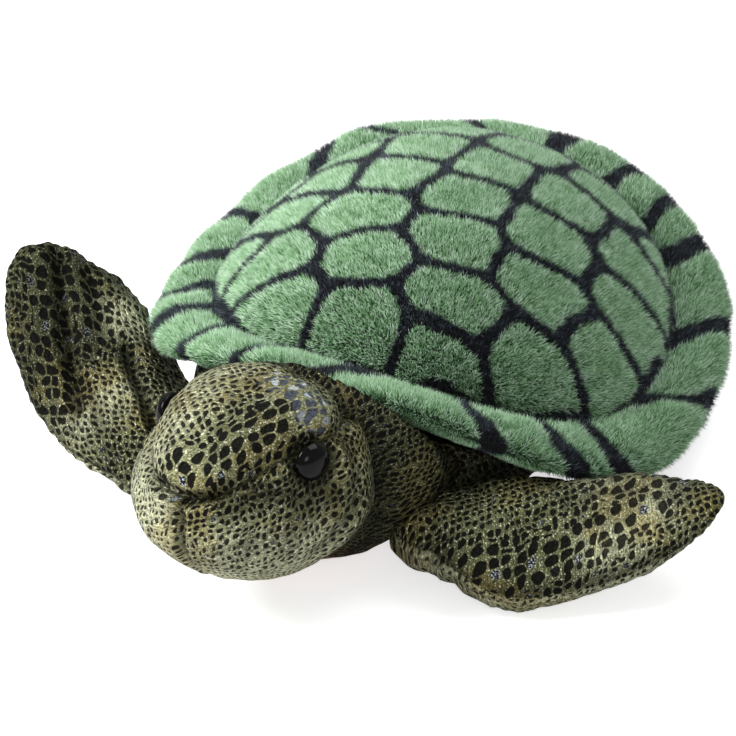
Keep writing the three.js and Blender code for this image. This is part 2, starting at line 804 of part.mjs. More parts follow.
for (const [side, frame] of Object.entries(eyes)) {
  addPart(`eye_${side}`, carried(turnedOn(frame, eyeProfile, eyeSides), inHead), eyeBlack);
  addPart(`eye_washer_${side}`, carried(turnedOn(frame, washerProfile, eyeSides), inHead), washerWhite);
}

export default turtle;
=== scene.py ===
"""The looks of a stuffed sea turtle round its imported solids. Metres, +Z up, the head points along -Y."""

import json
import logging
import math
from collections.abc import Callable
from dataclasses import dataclass, field
from enum import Enum

import bmesh
import bpy
import numpy as np
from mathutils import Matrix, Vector

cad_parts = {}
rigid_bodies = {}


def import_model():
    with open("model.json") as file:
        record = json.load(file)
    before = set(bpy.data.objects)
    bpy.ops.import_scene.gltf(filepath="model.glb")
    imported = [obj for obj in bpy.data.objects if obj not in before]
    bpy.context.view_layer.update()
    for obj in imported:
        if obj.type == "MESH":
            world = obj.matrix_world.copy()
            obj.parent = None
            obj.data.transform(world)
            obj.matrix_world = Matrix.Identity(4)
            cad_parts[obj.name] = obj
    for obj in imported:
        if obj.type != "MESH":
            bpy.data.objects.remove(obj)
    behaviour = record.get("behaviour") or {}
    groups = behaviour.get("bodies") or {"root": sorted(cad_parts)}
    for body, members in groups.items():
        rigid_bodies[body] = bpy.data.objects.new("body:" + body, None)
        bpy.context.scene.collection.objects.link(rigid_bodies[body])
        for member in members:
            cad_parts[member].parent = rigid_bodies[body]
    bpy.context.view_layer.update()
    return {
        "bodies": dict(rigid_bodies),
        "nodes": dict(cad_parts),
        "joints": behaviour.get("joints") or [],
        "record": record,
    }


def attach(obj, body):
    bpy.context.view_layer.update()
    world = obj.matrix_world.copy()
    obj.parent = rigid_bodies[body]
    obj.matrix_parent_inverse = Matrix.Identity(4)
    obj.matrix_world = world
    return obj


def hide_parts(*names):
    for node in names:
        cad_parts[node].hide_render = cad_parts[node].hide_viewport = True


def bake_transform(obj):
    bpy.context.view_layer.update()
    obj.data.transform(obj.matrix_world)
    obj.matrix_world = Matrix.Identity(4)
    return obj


MM = 0.001
PICTURE_SIDE = 736
TORSO_TURN = -8.0
HEAD_TURN = -15.0
NECK_CENTRE = np.array([-14.581, -118.12, 38.0])
HEAD_CENTRE = NECK_CENTRE + np.array([-1.035, -3.864, 0.0])
UP = np.array([0.0, 0.0, 1.0])
FAR_OFF = 99.0
ROUND = 6.28

log = logging.getLogger("plush_turtle")


class Side(Enum):
    """The two sides of the turtle, seen from above with the head forward."""

    LEFT = 1
    RIGHT = -1


def bulge(value: np.ndarray, power: float) -> np.ndarray:
    """Swells a sine or cosine into that of a squarer round form."""
    return np.sign(value) * np.abs(value) ** (2 / power)


def ease(low: float, high: float, value: np.ndarray) -> np.ndarray:
    """A smooth step from 0 at low to 1 at high, which may lie either way round."""
    share = np.clip((value - low) / (high - low), 0, 1)
    return share * share * (3 - 2 * share)


def hill(distance: np.ndarray, width: float) -> np.ndarray:
    """A round rise of height 1 that fades over a width."""
    return np.exp(-((distance / width) ** 2))


def groove(distance: np.ndarray, width: float, depth: float) -> np.ndarray:
    """How far a seam or crease draws the cloth in, with a soft swell on both sides of it."""
    return -depth * hill(distance, width) + 0.35 * depth * hill(distance - 2.4 * width, 1.3 * width)


def turned(points: np.ndarray, degrees: float) -> np.ndarray:
    """Turns points about the upright axis.

    Args:
        points: The points, one a row.
        degrees: How far they turn.

    Returns:
        The turned points.
    """
    angle = math.radians(degrees)
    c, s = math.cos(angle), math.sin(angle)
    x = points[:, 0] * c - points[:, 1] * s
    y = points[:, 0] * s + points[:, 1] * c
    return np.column_stack([x, y, points[:, 2]])


def about(points: np.ndarray, axis: np.ndarray, degrees: float, centre: np.ndarray) -> np.ndarray:
    """Turns points about an axis through a centre.

    Args:
        points: The points, one a row.
        axis: The axis, of length 1.
        degrees: How far they turn.
        centre: A point on the axis.

    Returns:
        The turned points.
    """
    angle = math.radians(degrees)
    p = points - centre
    c, s = math.cos(angle), math.sin(angle)
    along = (p @ axis)[:, None] * axis
    return centre + p * c + np.cross(axis, p) * s + along * (1 - c)


def waves(points: np.ndarray, length: float, seed: int, stretch: tuple = (1.0, 1.0, 1.0)) -> np.ndarray:
    """Smooth random unevenness over points, about -1 to 1.

    Args:
        points: The points in millimetres.
        length: The usual distance from one swell to the next.
        seed: Picks the pattern.
        stretch: How much longer the swells are along x, y and z.

    Returns:
        One value for each point.
    """
    rng = np.random.default_rng(seed)
    total = np.zeros(len(points))
    scaled = points / np.array(stretch)
    for _ in range(9):
        way = rng.normal(size=3)
        way /= np.linalg.norm(way)
        pace = 2 * math.pi / (length * rng.uniform(0.75, 1.35))
        bend = 1.3 * np.sin(scaled @ np.roll(way, 1) * pace * 0.6 + rng.uniform(0, ROUND))
        total += np.sin(scaled @ way * pace + bend + rng.uniform(0, ROUND))
    return total / 4.2


def line_distance(points: np.ndarray, line: tuple) -> np.ndarray:
    """Measures from each point to a line of joined straight stretches.

    Args:
        points: The points, one a row.
        line: The line's corners.

    Returns:
        One distance for each point.
    """
    near = np.full(len(points), 1e9)
    for start, end in zip(line[:-1], line[1:]):
        a, b = np.array(start, float), np.array(end, float)
        way = b - a
        share = np.clip(((points - a) @ way) / (way @ way), 0, 1)
        near = np.minimum(near, np.linalg.norm(points - (a + share[:, None] * way), axis=1))
    return near


def plan_distance(points: np.ndarray, rows: tuple) -> np.ndarray:
    """The distance in plan from each point to the nearest of several lines, or a great one without any."""
    flat = points * np.array([1, 1, 0])
    far = np.full(len(points), FAR_OFF)
    return np.minimum.reduce([far] + [line_distance(flat, [(*p, 0) for p in row]) for row in rows])


def outward(points: np.ndarray) -> np.ndarray:
    """The level way from the middle to each point, of length 1 past the first millimetre."""
    out = points * np.array([1, 1, 0])
    return out / np.maximum(np.linalg.norm(out, axis=1), 1)[:, None]


def disc(square: np.ndarray) -> tuple:
    """Bends a square grid into a disc: each point's share of the way out, and its angle."""
    u = square[:, 0] * np.sqrt(1 - square[:, 1] ** 2 / 2)
    v = square[:, 1] * np.sqrt(1 - square[:, 0] ** 2 / 2)
    return np.clip(np.hypot(u, v), 0, 1), np.arctan2(v, u)


def arc_share(turn: np.ndarray, flatness: float) -> np.ndarray:
    """How far along a flattened round section a point lies from the middle of its upper or lower side.

    Args:
        turn: The point's angle round the section, with 0 at one edge.
        flatness: The section's height over its width.

    Returns:
        The length along the cloth, for a half width of 1, positive towards the edge at 0.
    """
    steps = np.linspace(0, math.pi, 181)
    pace = np.sqrt(np.sin(steps) ** 2 + (flatness * np.cos(steps)) ** 2)
    run = np.concatenate([[0], np.cumsum((pace[1:] + pace[:-1]) / 2 * (steps[1] - steps[0]))])
    return run[90] - np.interp(np.abs(turn), steps, run)


def laid(sheet: np.ndarray, degrees: float) -> np.ndarray:
    """Turns flat cloth coordinates and draws them out, so that the printed dots lean the wanted way.

    Args:
        sheet: The coordinates in millimetres, one row a point.
        degrees: How far the print is turned.

    Returns:
        The turned coordinates.
    """
    spun = turned(sheet, degrees)
    x = y = 0.0
    for lean, drawn in ((30, 1.05), (120, 0.88)):
        way = math.radians(lean)
        reach = drawn * (spun[:, 0] * math.cos(way) + spun[:, 1] * math.sin(way))
        x, y = x + reach * math.cos(way), y + reach * math.sin(way)
    return np.column_stack([x, y, sheet[:, 2]])


def points_of(mesh: bpy.types.Mesh) -> np.ndarray:
    """A mesh's points, one a row, in metres."""
    points = np.zeros(len(mesh.vertices) * 3)
    mesh.vertices.foreach_get("co", points)
    return points.reshape(-1, 3)


def put(piece: bpy.types.Object, points: np.ndarray, enlarged: float = 1.0) -> None:
    """Puts a piece's points where they are given, in millimetres."""
    piece.data.vertices.foreach_set("co", (points * MM * enlarged).astype(np.float32).ravel())
    piece.data.update()


def faced(piece: bpy.types.Object, points: np.ndarray) -> np.ndarray:
    """Puts a piece's points in place, and gives the way that its cloth then faces at each of them."""
    put(piece, points)
    normals = np.zeros(len(points) * 3)
    piece.data.vertices.foreach_get("normal", normals)
    return normals.reshape(-1, 3)


def paint(piece: bpy.types.Object, **layers: object) -> None:
    """Keeps values on a piece's points, for its finish or its pile to read.

    Args:
        piece: The piece.
        **layers: By name, one number for all points, or one or three numbers a point.
    """
    for name, given in layers.items():
        values = np.asarray(given, np.float32)
        if values.ndim == 0:
            values = np.full(len(piece.data.vertices), values)
        kind, part = ("FLOAT", "value") if values.ndim == 1 else ("FLOAT_VECTOR", "vector")
        layer = piece.data.attributes.get(name) or piece.data.attributes.new(name, kind, "POINT")
        layer.data.foreach_set(part, values.ravel())


def piece_from(bm: bmesh.types.BMesh, name: str, finish: bpy.types.Material | None) -> bpy.types.Object:
    """Makes a smooth piece of a bmesh, which is freed.

    Args:
        bm: The form.
        name: The piece's name.
        finish: Its material, if it has one.

    Returns:
        The new object, at the origin.
    """
    bmesh.ops.recalc_face_normals(bm, faces=bm.faces[:])
    mesh = bpy.data.meshes.new(name)
    bm.to_mesh(mesh)
    bm.free()
    mesh.polygons.foreach_set("use_smooth", np.ones(len(mesh.polygons), bool))
    if finish is not None:
        mesh.materials.append(finish)
    piece = bpy.data.objects.new(name, mesh)
    bpy.context.scene.collection.objects.link(piece)
    return piece


def ball_piece(name: str, sides: int, rings: int, finish: bpy.types.Material | None) -> tuple:
    """A round piece of radius 1, with where each point lies on it.

    Args:
        name: The piece's name.
        sides: Faces round its upright axis.
        rings: Faces from pole to pole.
        finish: Its material, if it has one.

    Returns:
        The piece, each point's angle from the upper pole, and its angle round the axis.
    """
    bm = bmesh.new()
    bmesh.ops.create_uvsphere(bm, u_segments=sides, v_segments=rings, radius=1)
    piece = piece_from(bm, name, finish)
    unit = points_of(piece.data)
    return piece, np.arccos(np.clip(unit[:, 2], -1, 1)), np.arctan2(unit[:, 1], unit[:, 0])


def line_belly(piece: bpy.types.Object, finish: bpy.types.Material, height: float) -> None:
    """Gives the faces below a height, in millimetres, a second cloth."""
    piece.data.materials.append(finish)
    middles = np.zeros(len(piece.data.polygons) * 3)
    piece.data.polygons.foreach_get("center", middles)
    below = middles.reshape(-1, 3)[:, 2] < height * MM
    piece.data.polygons.foreach_set("material_index", below.astype(np.int32))


@dataclass(frozen=True)
class Stuffing:
    """Swells the cloth of a ball piece between its seams, with a cloth simulation on a coarser copy.

    The copy is simulated enlarged, because Blender's cloth weighs each point alike. Part of its mean
    swelling is taken off again, so that the seams draw in and the piece keeps its size.
    """

    sides: int = 112
    rings: int = 84
    enlarged: float = 10.0
    pressure: float = 40.0
    slack: float = -0.04
    reach: float = 1.6
    frames: int = 20
    taken_off: float = 0.5

    def moves(self, shape: Callable, held: Callable, polar: np.ndarray, turn: np.ndarray) -> np.ndarray:
        """How far the stuffing moves the cloth, in millimetres.

        Args:
            shape: Gives the form's points from their two angles.
            held: Tells from the form's points and angles which of them a seam holds.
            polar: Each wanted point's angle from the upper pole.
            turn: Each wanted point's angle round the axis.

        Returns:
            One move for each wanted point.
        """
        trial, *angles = ball_piece("trial", self.sides, self.rings, None)
        start = shape(*angles)
        normals = faced(trial, start)
        put(trial, start, self.enlarged)
        group = trial.vertex_groups.new(name="held")
        group.add(np.flatnonzero(held(start, *angles)).tolist(), 1.0, "REPLACE")
        self.simulate(trial)
        graph = bpy.context.evaluated_depsgraph_get()
        moved = points_of(trial.evaluated_get(graph).to_mesh()) / (MM * self.enlarged) - start
        bpy.data.objects.remove(trial)
        bpy.context.scene.frame_set(1)
        far = np.linalg.norm(moved, axis=1)
        moved *= (np.minimum(far, self.reach) / np.maximum(far, 1e-6))[:, None]
        moved -= normals * self.taken_off * np.mean(np.sum(moved * normals, axis=1))
        moved *= ease(0.02, 0.4, np.sin(angles[0]))[:, None]
        return self.spread(moved, angles, (polar, turn))

    def simulate(self, trial: bpy.types.Object) -> None:
        """Runs the cloth on the coarse copy, held at its seams."""
        cloth = trial.modifiers.new("stuffing", "CLOTH")
        cloth.settings.use_pressure = True
        cloth.settings.uniform_pressure_force = self.pressure
        cloth.settings.effector_weights.gravity = 0
        cloth.settings.vertex_group_mass = "held"
        cloth.settings.shrink_min = self.slack
        cloth.settings.quality = 5
        cloth.collision_settings.use_collision = False
        cloth.point_cache.frame_end = self.frames
        for frame in range(1, self.frames + 1):
            bpy.context.scene.frame_set(frame)

    def spread(self, moved: np.ndarray, known: tuple, wanted: tuple) -> np.ndarray:
        """Reads the coarse copy's moves at other places of the ball.

        Args:
            moved: The coarse points' moves.
            known: Their angles from the upper pole, and round the axis.
            wanted: The wanted points' two angles.

        Returns:
            One move for each wanted point.
        """
        grid = np.zeros((self.rings + 1, self.sides, 3))
        ring = np.rint(known[0] / math.pi * self.rings).astype(int)
        side = np.rint(known[1] / (2 * math.pi) * self.sides).astype(int) % self.sides
        grid[ring, side] = moved
        for pole in (0, self.rings):
            grid[pole] = moved[ring == pole][0]
        down = np.clip(wanted[0] / math.pi * self.rings, 0, self.rings - 1e-6)
        along = wanted[1] / (2 * math.pi) * self.sides
        r, c = np.floor(down).astype(int), np.floor(along).astype(int)
        down, along = (down - r)[:, None], (along - c)[:, None]
        here, beyond = c % self.sides, (c + 1) % self.sides
        upper, lower = (grid[row, here] * (1 - along) + grid[row, beyond] * along for row in (r, r + 1))
        return upper * (1 - down) + lower * down


class NodeBook:
    """Adds nodes to a material or a node group and joins them, with few words."""

    def __init__(self, tree: bpy.types.NodeTree) -> None:
        """Keeps the tree that the nodes go into."""
        self.tree = tree

    def fill(self, node: bpy.types.Node, **sockets: object) -> bpy.types.Node:
        """Sets or joins a node's inputs.

        Args:
            node: The node.
            **sockets: Its inputs, each by its name with _ for a space, or by i and its number. Each is given
                a value or an output to join.

        Returns:
            The same node.
        """
        for key, value in sockets.items():
            name = key.replace("_", " ")
            socket = node.inputs[int(name[1:]) if name[1:].isdigit() else name]
            if isinstance(value, bpy.types.NodeSocket):
                self.tree.links.new(value, socket)
            else:
                socket.default_value = value
        return node

    def add(self, kind: str, settings: dict | None = None, **sockets: object) -> bpy.types.Node:
        """Adds a node.

        Args:
            kind: Blender's name of the node.
            settings: Its own settings, by name.
            **sockets: Its inputs, as fill takes them.

        Returns:
            The new node.
        """
        node = self.tree.nodes.new(kind)
        for key, value in (settings or {}).items():
            setattr(node, key, value)
        return self.fill(node, **sockets)

    def math(self, operation: str, a: object, b: object = 0.0) -> bpy.types.NodeSocket:
        """The result of a sum on two values."""
        return self.add("ShaderNodeMath", {"operation": operation}, i0=a, i1=b).outputs[0]

    def plus(self, a: object, b: object) -> bpy.types.NodeSocket:
        """Two values added up."""
        return self.math("ADD", a, b)

    def less(self, a: object, b: object) -> bpy.types.NodeSocket:
        """The first value less the second."""
        return self.math("SUBTRACT", a, b)

    def times(self, a: object, b: object) -> bpy.types.NodeSocket:
        """The product of two values."""
        return self.math("MULTIPLY", a, b)

    def vector(self, operation: str, *parts: object) -> bpy.types.NodeSocket:
        """The result of a sum on vectors."""
        sockets = {f"i{k}": part for k, part in enumerate(parts)}
        return self.add("ShaderNodeVectorMath", {"operation": operation}, **sockets).outputs[0]

    def step(self, value: object, low: float, high: float) -> bpy.types.NodeSocket:
        """A smooth step of a value from 0 at low to 1 at high."""
        settings = {"interpolation_type": "SMOOTHSTEP"}
        return self.add("ShaderNodeMapRange", settings, Value=value, From_Min=low, From_Max=high).outputs[0]

    def mix(self, share: object, a: object, b: object) -> bpy.types.NodeSocket:
        """A colour that goes from a to b."""
        return self.add("ShaderNodeMix", {"data_type": "RGBA"}, i0=share, i6=a, i7=b).outputs[2]

    def blend(self, share: object, a: object, b: object) -> bpy.types.NodeSocket:
        """A number that goes from a to b."""
        return self.add("ShaderNodeMix", {"data_type": "FLOAT"}, i0=share, i2=a, i3=b).outputs[0]

    def attribute(self, name: str, part: str = "Fac") -> bpy.types.NodeSocket:
        """A value kept on the piece's points, as a shader reads it."""
        return self.add("ShaderNodeAttribute", {"attribute_name": name}).outputs[part]

    def place(self) -> bpy.types.NodeSocket:
        """Where a point lies on its piece."""
        return self.add("ShaderNodeTexCoord").outputs["Object"]

    def noise(self, scale: object, detail: float, **vector: object) -> bpy.types.NodeSocket:
        """A noise texture's shade, at a given Vector if there is one."""
        return self.add("ShaderNodeTexNoise", Scale=scale, Detail=detail, **vector).outputs["Fac"]

    def kept(self, name: str, kind: str = "FLOAT") -> bpy.types.NodeSocket:
        """A value kept on the piece's points, as geometry nodes read it."""
        return self.add("GeometryNodeInputNamedAttribute", {"data_type": kind}, Name=name).outputs[0]

    def keep(self, geometry: object, name: str, value: object) -> bpy.types.NodeSocket:
        """A geometry with one more value kept on its points."""
        sockets = {"Geometry": geometry, "Name": name, "Value": value}
        return self.add("GeometryNodeStoreNamedAttribute", **sockets).outputs[0]

    def chance(self, low: float, high: float, seed: int) -> bpy.types.NodeSocket:
        """A random number for each point."""
        settings = {"data_type": "FLOAT"}
        return self.add("FunctionNodeRandomValue", settings, i2=low, i3=high, Seed=seed).outputs[1]

    def chance_vector(self, low: tuple, high: tuple, seed: int) -> bpy.types.NodeSocket:
        """A random vector for each point."""
        settings = {"data_type": "FLOAT_VECTOR"}
        return self.add("FunctionNodeRandomValue", settings, i0=low, i1=high, Seed=seed).outputs[0]


def colour(red: float, green: float, blue: float) -> tuple:
    """A colour as a picture shows it, 0 to 255, for a shader's socket."""
    parts = [c / 255 for c in (red, green, blue)]
    linear = [c / 12.92 if c <= 0.04045 else ((c + 0.055) / 1.055) ** 2.4 for c in parts]
    return (*linear, 1.0)


def new_group(name: str, inputs: dict, outputs: tuple) -> tuple:
    """Makes an empty shader node group.

    Args:
        name: The group's name.
        inputs: Its inputs, name to default number.
        outputs: The names of its outputs, which are numbers too.

    Returns:
        The group, its node book, its input node and its output node.
    """
    group = bpy.data.node_groups.new(name, "ShaderNodeTree")
    for key, value in inputs.items():
        group.interface.new_socket(key, in_out="INPUT", socket_type="NodeSocketFloat").default_value = value
    for key in outputs:
        group.interface.new_socket(key, in_out="OUTPUT", socket_type="NodeSocketFloat")
    book = NodeBook(group)
    return group, book, book.add("NodeGroupInput"), book.add("NodeGroupOutput")


def new_material(name: str) -> tuple:
    """A new material, its node book and its main shader."""
    material = bpy.data.materials.new(name)
    material.use_nodes = True
    return material, NodeBook(material.node_tree), material.node_tree.nodes["Principled BSDF"]


def cloth_grain() -> bpy.types.NodeTree:
    """The fine weave and felting that every cloth here has, as a height."""
    group, book, source, sink = new_group("cloth_grain", {"Threads": 1600.0}, ("Height",))
    fine = book.noise(source.outputs["Threads"], 2.0, Vector=book.place())
    coarse = book.noise(120.0, 3.0, Vector=book.place())
    book.fill(sink, Height=book.plus(fine, book.times(coarse, 1.6)))
    return group


def snake_dots() -> bpy.types.NodeTree:
    """Makes the group of snakeskin dots, in three sizes and slanting rows, laid out on the flat cloth.

    Returns:
        The group, which puts out the dots, a random number for each dot, and how the dots dip.
    """
    inputs = {"Small": 0.42, "Middle": 0.31, "Large": 0.2, "Size": 0.0, "Gap": 0.1}
    group, book, source, sink = new_group("snake_dots", inputs, ("Dot", "Chance", "Height"))
    sheet = book.attribute("sheet", "Vector")
    stir = book.add("ShaderNodeTexNoise", Vector=sheet, Scale=0.1, Detail=2.0).outputs["Color"]
    shift = book.add("ShaderNodeVectorMath", {"operation": "SCALE"}, i0=stir, Scale=5.0).outputs[0]
    stirred = book.vector("ADD", sheet, shift)
    rows = [
        book.add("ShaderNodeVectorMath", {"operation": "DOT_PRODUCT"}, i0=stirred, i1=way).outputs["Value"]
        for way in ((1.0, -0.577, 0.0), (0.0, 1.155, 0.0))
    ]
    lattice = book.add("ShaderNodeCombineXYZ", i0=rows[0], i1=rows[1]).outputs[0]
    flat = {"voronoi_dimensions": "2D"}
    found = []
    for name in ("Small", "Middle", "Large"):
        sockets = {"Vector": lattice, "Scale": source.outputs[name], "Randomness": 0.5}
        cell = book.add("ShaderNodeTexVoronoi", flat, **sockets)
        edge = book.add("ShaderNodeTexVoronoi", {**flat, "feature": "DISTANCE_TO_EDGE"}, **sockets)
        chance = book.add("ShaderNodeSeparateColor", Color=cell.outputs["Color"])
        found.append((edge.outputs["Distance"], chance.outputs[0], cell.outputs["Distance"]))
    patchy = book.noise(0.2, 1.0, Vector=sheet)
    size = book.plus(source.outputs["Size"], book.times(patchy, 0.3))
    kept = found[0]
    for level, low in ((found[1], 0.46), (found[2], 0.74)):
        share = book.step(size, low, low + 0.06)
        kept = tuple(book.blend(share, a, b) for a, b in zip(kept, level))
    edge, chance, centre = kept
    inside = book.less(edge, book.times(source.outputs["Gap"], 0.8))
    spared = book.plus(source.outputs["Gap"], book.times(chance, 0.12))
    rounded = book.less(book.less(0.57, spared), centre)
    dot = book.step(book.math("MINIMUM", inside, rounded), -0.03, 0.05)
    book.fill(sink, Dot=dot, Chance=chance, Height=book.step(centre, 0.6, 0.2))
    return group


@dataclass(frozen=True)
class ScaleCloth:
    """Metallic snake-dot cloth of the head and the flippers."""

    name: str
    small: float = 0.42
    large: float = 0.225
    net: tuple = colour(150, 152, 112)
    # The pale ground, which is painted light on the head's right side and in the right flipper's pale rows.
    pale: tuple = colour(226, 228, 192)
    deep: tuple = colour(42, 42, 24)
    gold: tuple = colour(164, 146, 78)
    dot: tuple = colour(10, 10, 9)
    # Painted highlight: the sparkle on the net.
    sparkle_highlight: tuple = colour(242, 244, 216)
    # Painted reflections on some dots, pale and greyish.
    glint: tuple = colour(198, 208, 214)
    sheen: tuple = colour(84, 90, 102)
    # The colour of the painted shade.
    fold: tuple = colour(9, 8, 6)

    def net_colour(self, book: NodeBook, foil: bpy.types.NodeSocket) -> bpy.types.NodeSocket:
        """The shimmering ground between the dots, with painted sparkle highlights where the foil's fine noise
        is high.

        Args:
            book: The material's nodes.
            foil: The foil's fine noise.

        Returns:
            The socket of the colour.
        """
        sheet = book.attribute("sheet", "Vector")
        patchy = book.noise(60.0, 4.0, Vector=book.place())
        drawn = book.add("ShaderNodeMapping", i0=sheet, Scale=(0.9, 2.6, 1.0)).outputs[0]
        fibre = book.noise(0.9, 3.0, Vector=drawn)
        rusty = book.noise(52.0, 4.0, Vector=book.place())
        net = book.mix(book.attribute("pale"), self.net, self.pale)
        net = book.mix(book.times(book.step(rusty, 0.48, 0.66), 0.5), net, self.gold)
        net = book.mix(book.times(book.step(patchy, 0.42, 0.7), 0.55), net, self.deep)
        net = book.mix(book.times(book.step(fibre, 0.54, 0.36), 0.75), net, self.deep)
        # Painted highlights: the net turns near white where the foil's fine noise is high.
        return book.mix(book.times(book.step(foil, 0.54, 0.7), 0.8), net, self.sparkle_highlight)

    def cloth_colour(self, book: NodeBook, pattern: bpy.types.Node) -> bpy.types.NodeSocket:
        """The printed foil's colour, with painted glints and reflections on some dots and painted shade where
        the shade attribute is set.

        Args:
            book: The material's nodes.
            pattern: The dot pattern's node.

        Returns:
            The socket of the colour.
        """
        chance, gleaming = pattern.outputs["Chance"], book.attribute("gleam")
        foil = book.noise(1.7, 2.0, Vector=book.attribute("sheet", "Vector"))
        # Painted glints and reflections: a few dots where the foil is set, and the dots where the gleam is
        # painted, take the pale glint colour or the greyish sheen.
        lit = book.times(book.step(chance, 0.9, 0.95), book.attribute("foil"))
        glinting_dots = book.times(lit, book.step(foil, 0.46, 0.66))
        gleam = book.times(book.step(gleaming, 0.1, 0.4), book.step(foil, 0.26, 0.5))
        bright = book.step(book.plus(gleaming, chance), 1.15, 1.3)
        dark = book.mix(book.times(gleam, 0.85), self.dot, book.mix(bright, self.sheen, self.glint))
        dark = book.mix(glinting_dots, dark, self.glint)
        printed = book.times(pattern.outputs["Dot"], book.blend(book.attribute("pale"), 0.98, 0.9))
        shown = book.mix(printed, self.net_colour(book, foil), dark)
        # Painted shade: where the shade attribute is set, the cloth darkens towards the fold colour.
        return book.mix(book.times(book.attribute("shade"), 0.9), shown, self.fold)

    def material(self, dots: bpy.types.NodeTree, grain: bpy.types.NodeTree) -> bpy.types.Material:
        """Makes the cloth.

        Args:
            dots: The dot pattern's group.
            grain: The weave's group.

        Returns:
            The material.
        """
        material, book, shader = new_material(self.name)
        size = book.attribute("dot_size")
        gap = book.plus(book.blend(size, 0.15, 0.06), book.times(book.attribute("pale"), 0.08))
        sockets = {"Small": self.small, "Middle": 0.3, "Large": self.large, "Size": size, "Gap": gap}
        pattern = book.add("ShaderNodeGroup", {"node_tree": dots}, **sockets)
        crumple = book.noise(900.0, 2.0, Vector=book.place())
        weave = book.add("ShaderNodeGroup", {"node_tree": grain}, Threads=1900.0).outputs["Height"]
        height = book.plus(book.less(weave, pattern.outputs["Height"]), book.times(crumple, 2.2))
        bump = book.add("ShaderNodeBump", Strength=0.9, Distance=0.0005, Height=height)
        book.fill(
            shader, Base_Color=self.cloth_colour(book, pattern), Specular_IOR_Level=0.06,
            Metallic=book.blend(pattern.outputs["Dot"], 0.7, 0.0), Normal=bump.outputs["Normal"],
            Roughness=book.blend(pattern.outputs["Dot"], book.blend(crumple, 0.62, 0.24), 0.55),
        )
        return material


@dataclass(frozen=True)
class PlushPile:
    """Long green pile with dark lines between its patches."""

    name: str = "shell_pile"
    root: tuple = colour(48, 82, 54)
    leaf: tuple = colour(140, 192, 134)
    mint: tuple = colour(231, 252, 235)
    line_root: tuple = colour(5, 7, 12)
    line_tip: tuple = colour(40, 50, 68)
    line_frost: tuple = colour(150, 170, 178)

    def material(self) -> bpy.types.Material:
        """Makes the pile, with painted shade towards its roots and a painted highlight where the light
        catches single tips.
        """
        material, book, shader = new_material(self.name)
        tip, line = book.attribute("tip"), book.attribute("line")
        strand, tone = book.attribute("strand"), book.attribute("tone")
        # Painted shade: each strand darkens towards its root; painted highlight: single tips turn mint.
        green = book.mix(book.step(tip, 0.0, 0.8), self.root, self.leaf)
        green = book.mix(book.times(book.step(strand, 0.45, 0.0), 0.6), green, self.root)
        pale = book.times(book.step(strand, 0.32, 0.88), book.step(tip, 0.2, 0.9))
        green = book.mix(book.times(pale, book.blend(tone, 1.0, 0.66)), green, self.mint)
        # Painted shade: the dark lines' strands darken towards their roots too.
        dark = book.mix(book.times(book.step(tip, 0.3, 1.0), strand), self.line_root, self.line_tip)
        frost = book.times(book.step(tip, 0.4, 1.0), book.step(strand, 0.72, 0.98))
        dark = book.mix(book.times(frost, 0.6), dark, self.line_frost)
        shown = book.mix(line, green, dark)
        book.fill(shader, Base_Color=shown, Roughness=0.75, Specular_IOR_Level=0.3, Sheen_Weight=0.08)
        return material


@dataclass(frozen=True)
class PlushBacking:
    """The cloth that the pile is sewn into, seen only between the strands."""

    name: str = "shell_backing"
    leaf: tuple = colour(46, 74, 50)
    line: tuple = colour(10, 12, 18)

    def material(self, grain: bpy.types.NodeTree) -> bpy.types.Material:
        """Makes the backing, with the patches printed through."""
        material, book, shader = new_material(self.name)
        shown = book.mix(book.step(book.attribute("line"), 0.35, 0.65), self.leaf, self.line)
        weave = book.add("ShaderNodeGroup", {"node_tree": grain}, Threads=1200.0)
        bump = book.add("ShaderNodeBump", Strength=0.6, Distance=0.0006, Height=weave.outputs["Height"])
        book.fill(shader, Base_Color=shown, Roughness=0.95, Normal=bump.outputs["Normal"])
        return material


@dataclass(frozen=True)
class PlainCloth:
    """A napped cloth of one colour with felting, for the belly and the shell's lining."""

    name: str
    light: tuple
    dark: tuple
    threads: float = 900.0
    fuzz: float = 0.3

    def material(self, grain: bpy.types.NodeTree) -> bpy.types.Material:
        """Makes the cloth."""
        material, book, shader = new_material(self.name)
        patchy = book.noise(60.0, 6.0, Vector=book.place())
        nap = book.noise(self.threads, 3.0, Vector=book.place())
        worn = book.step(book.plus(book.times(patchy, 0.6), nap), 0.55, 1.05)
        shown = book.mix(worn, self.dark, self.light)
        weave = book.add("ShaderNodeGroup", {"node_tree": grain}, Threads=self.threads)
        bump = book.add("ShaderNodeBump", Strength=0.8, Distance=0.0008, Height=weave.outputs["Height"])
        book.fill(shader, Base_Color=shown, Roughness=0.9, Normal=bump.outputs["Normal"])
        book.fill(shader, Sheen_Weight=self.fuzz)
        return material


@dataclass(frozen=True)
class Moulded:
    """Moulded plastic, glossy for an eye and dull for a washer."""

    name: str
    body: tuple
    swirl: tuple
    roughness: float
    coat: float
    shine: float = 0.5

    def material(self) -> bpy.types.Material:
        """Makes the plastic, with faint moulding marks and handling smears."""
        material, book, shader = new_material(self.name)
        smear = book.noise(260.0, 3.0, Vector=book.place())
        book.fill(
            shader, Base_Color=book.mix(book.step(smear, 0.35, 0.8), self.body, self.swirl),
            Roughness=book.blend(smear, self.roughness * 0.7, self.roughness * 1.3),
            Specular_IOR_Level=self.shine, Coat_Weight=self.coat, Coat_Roughness=0.03,
        )
        return material


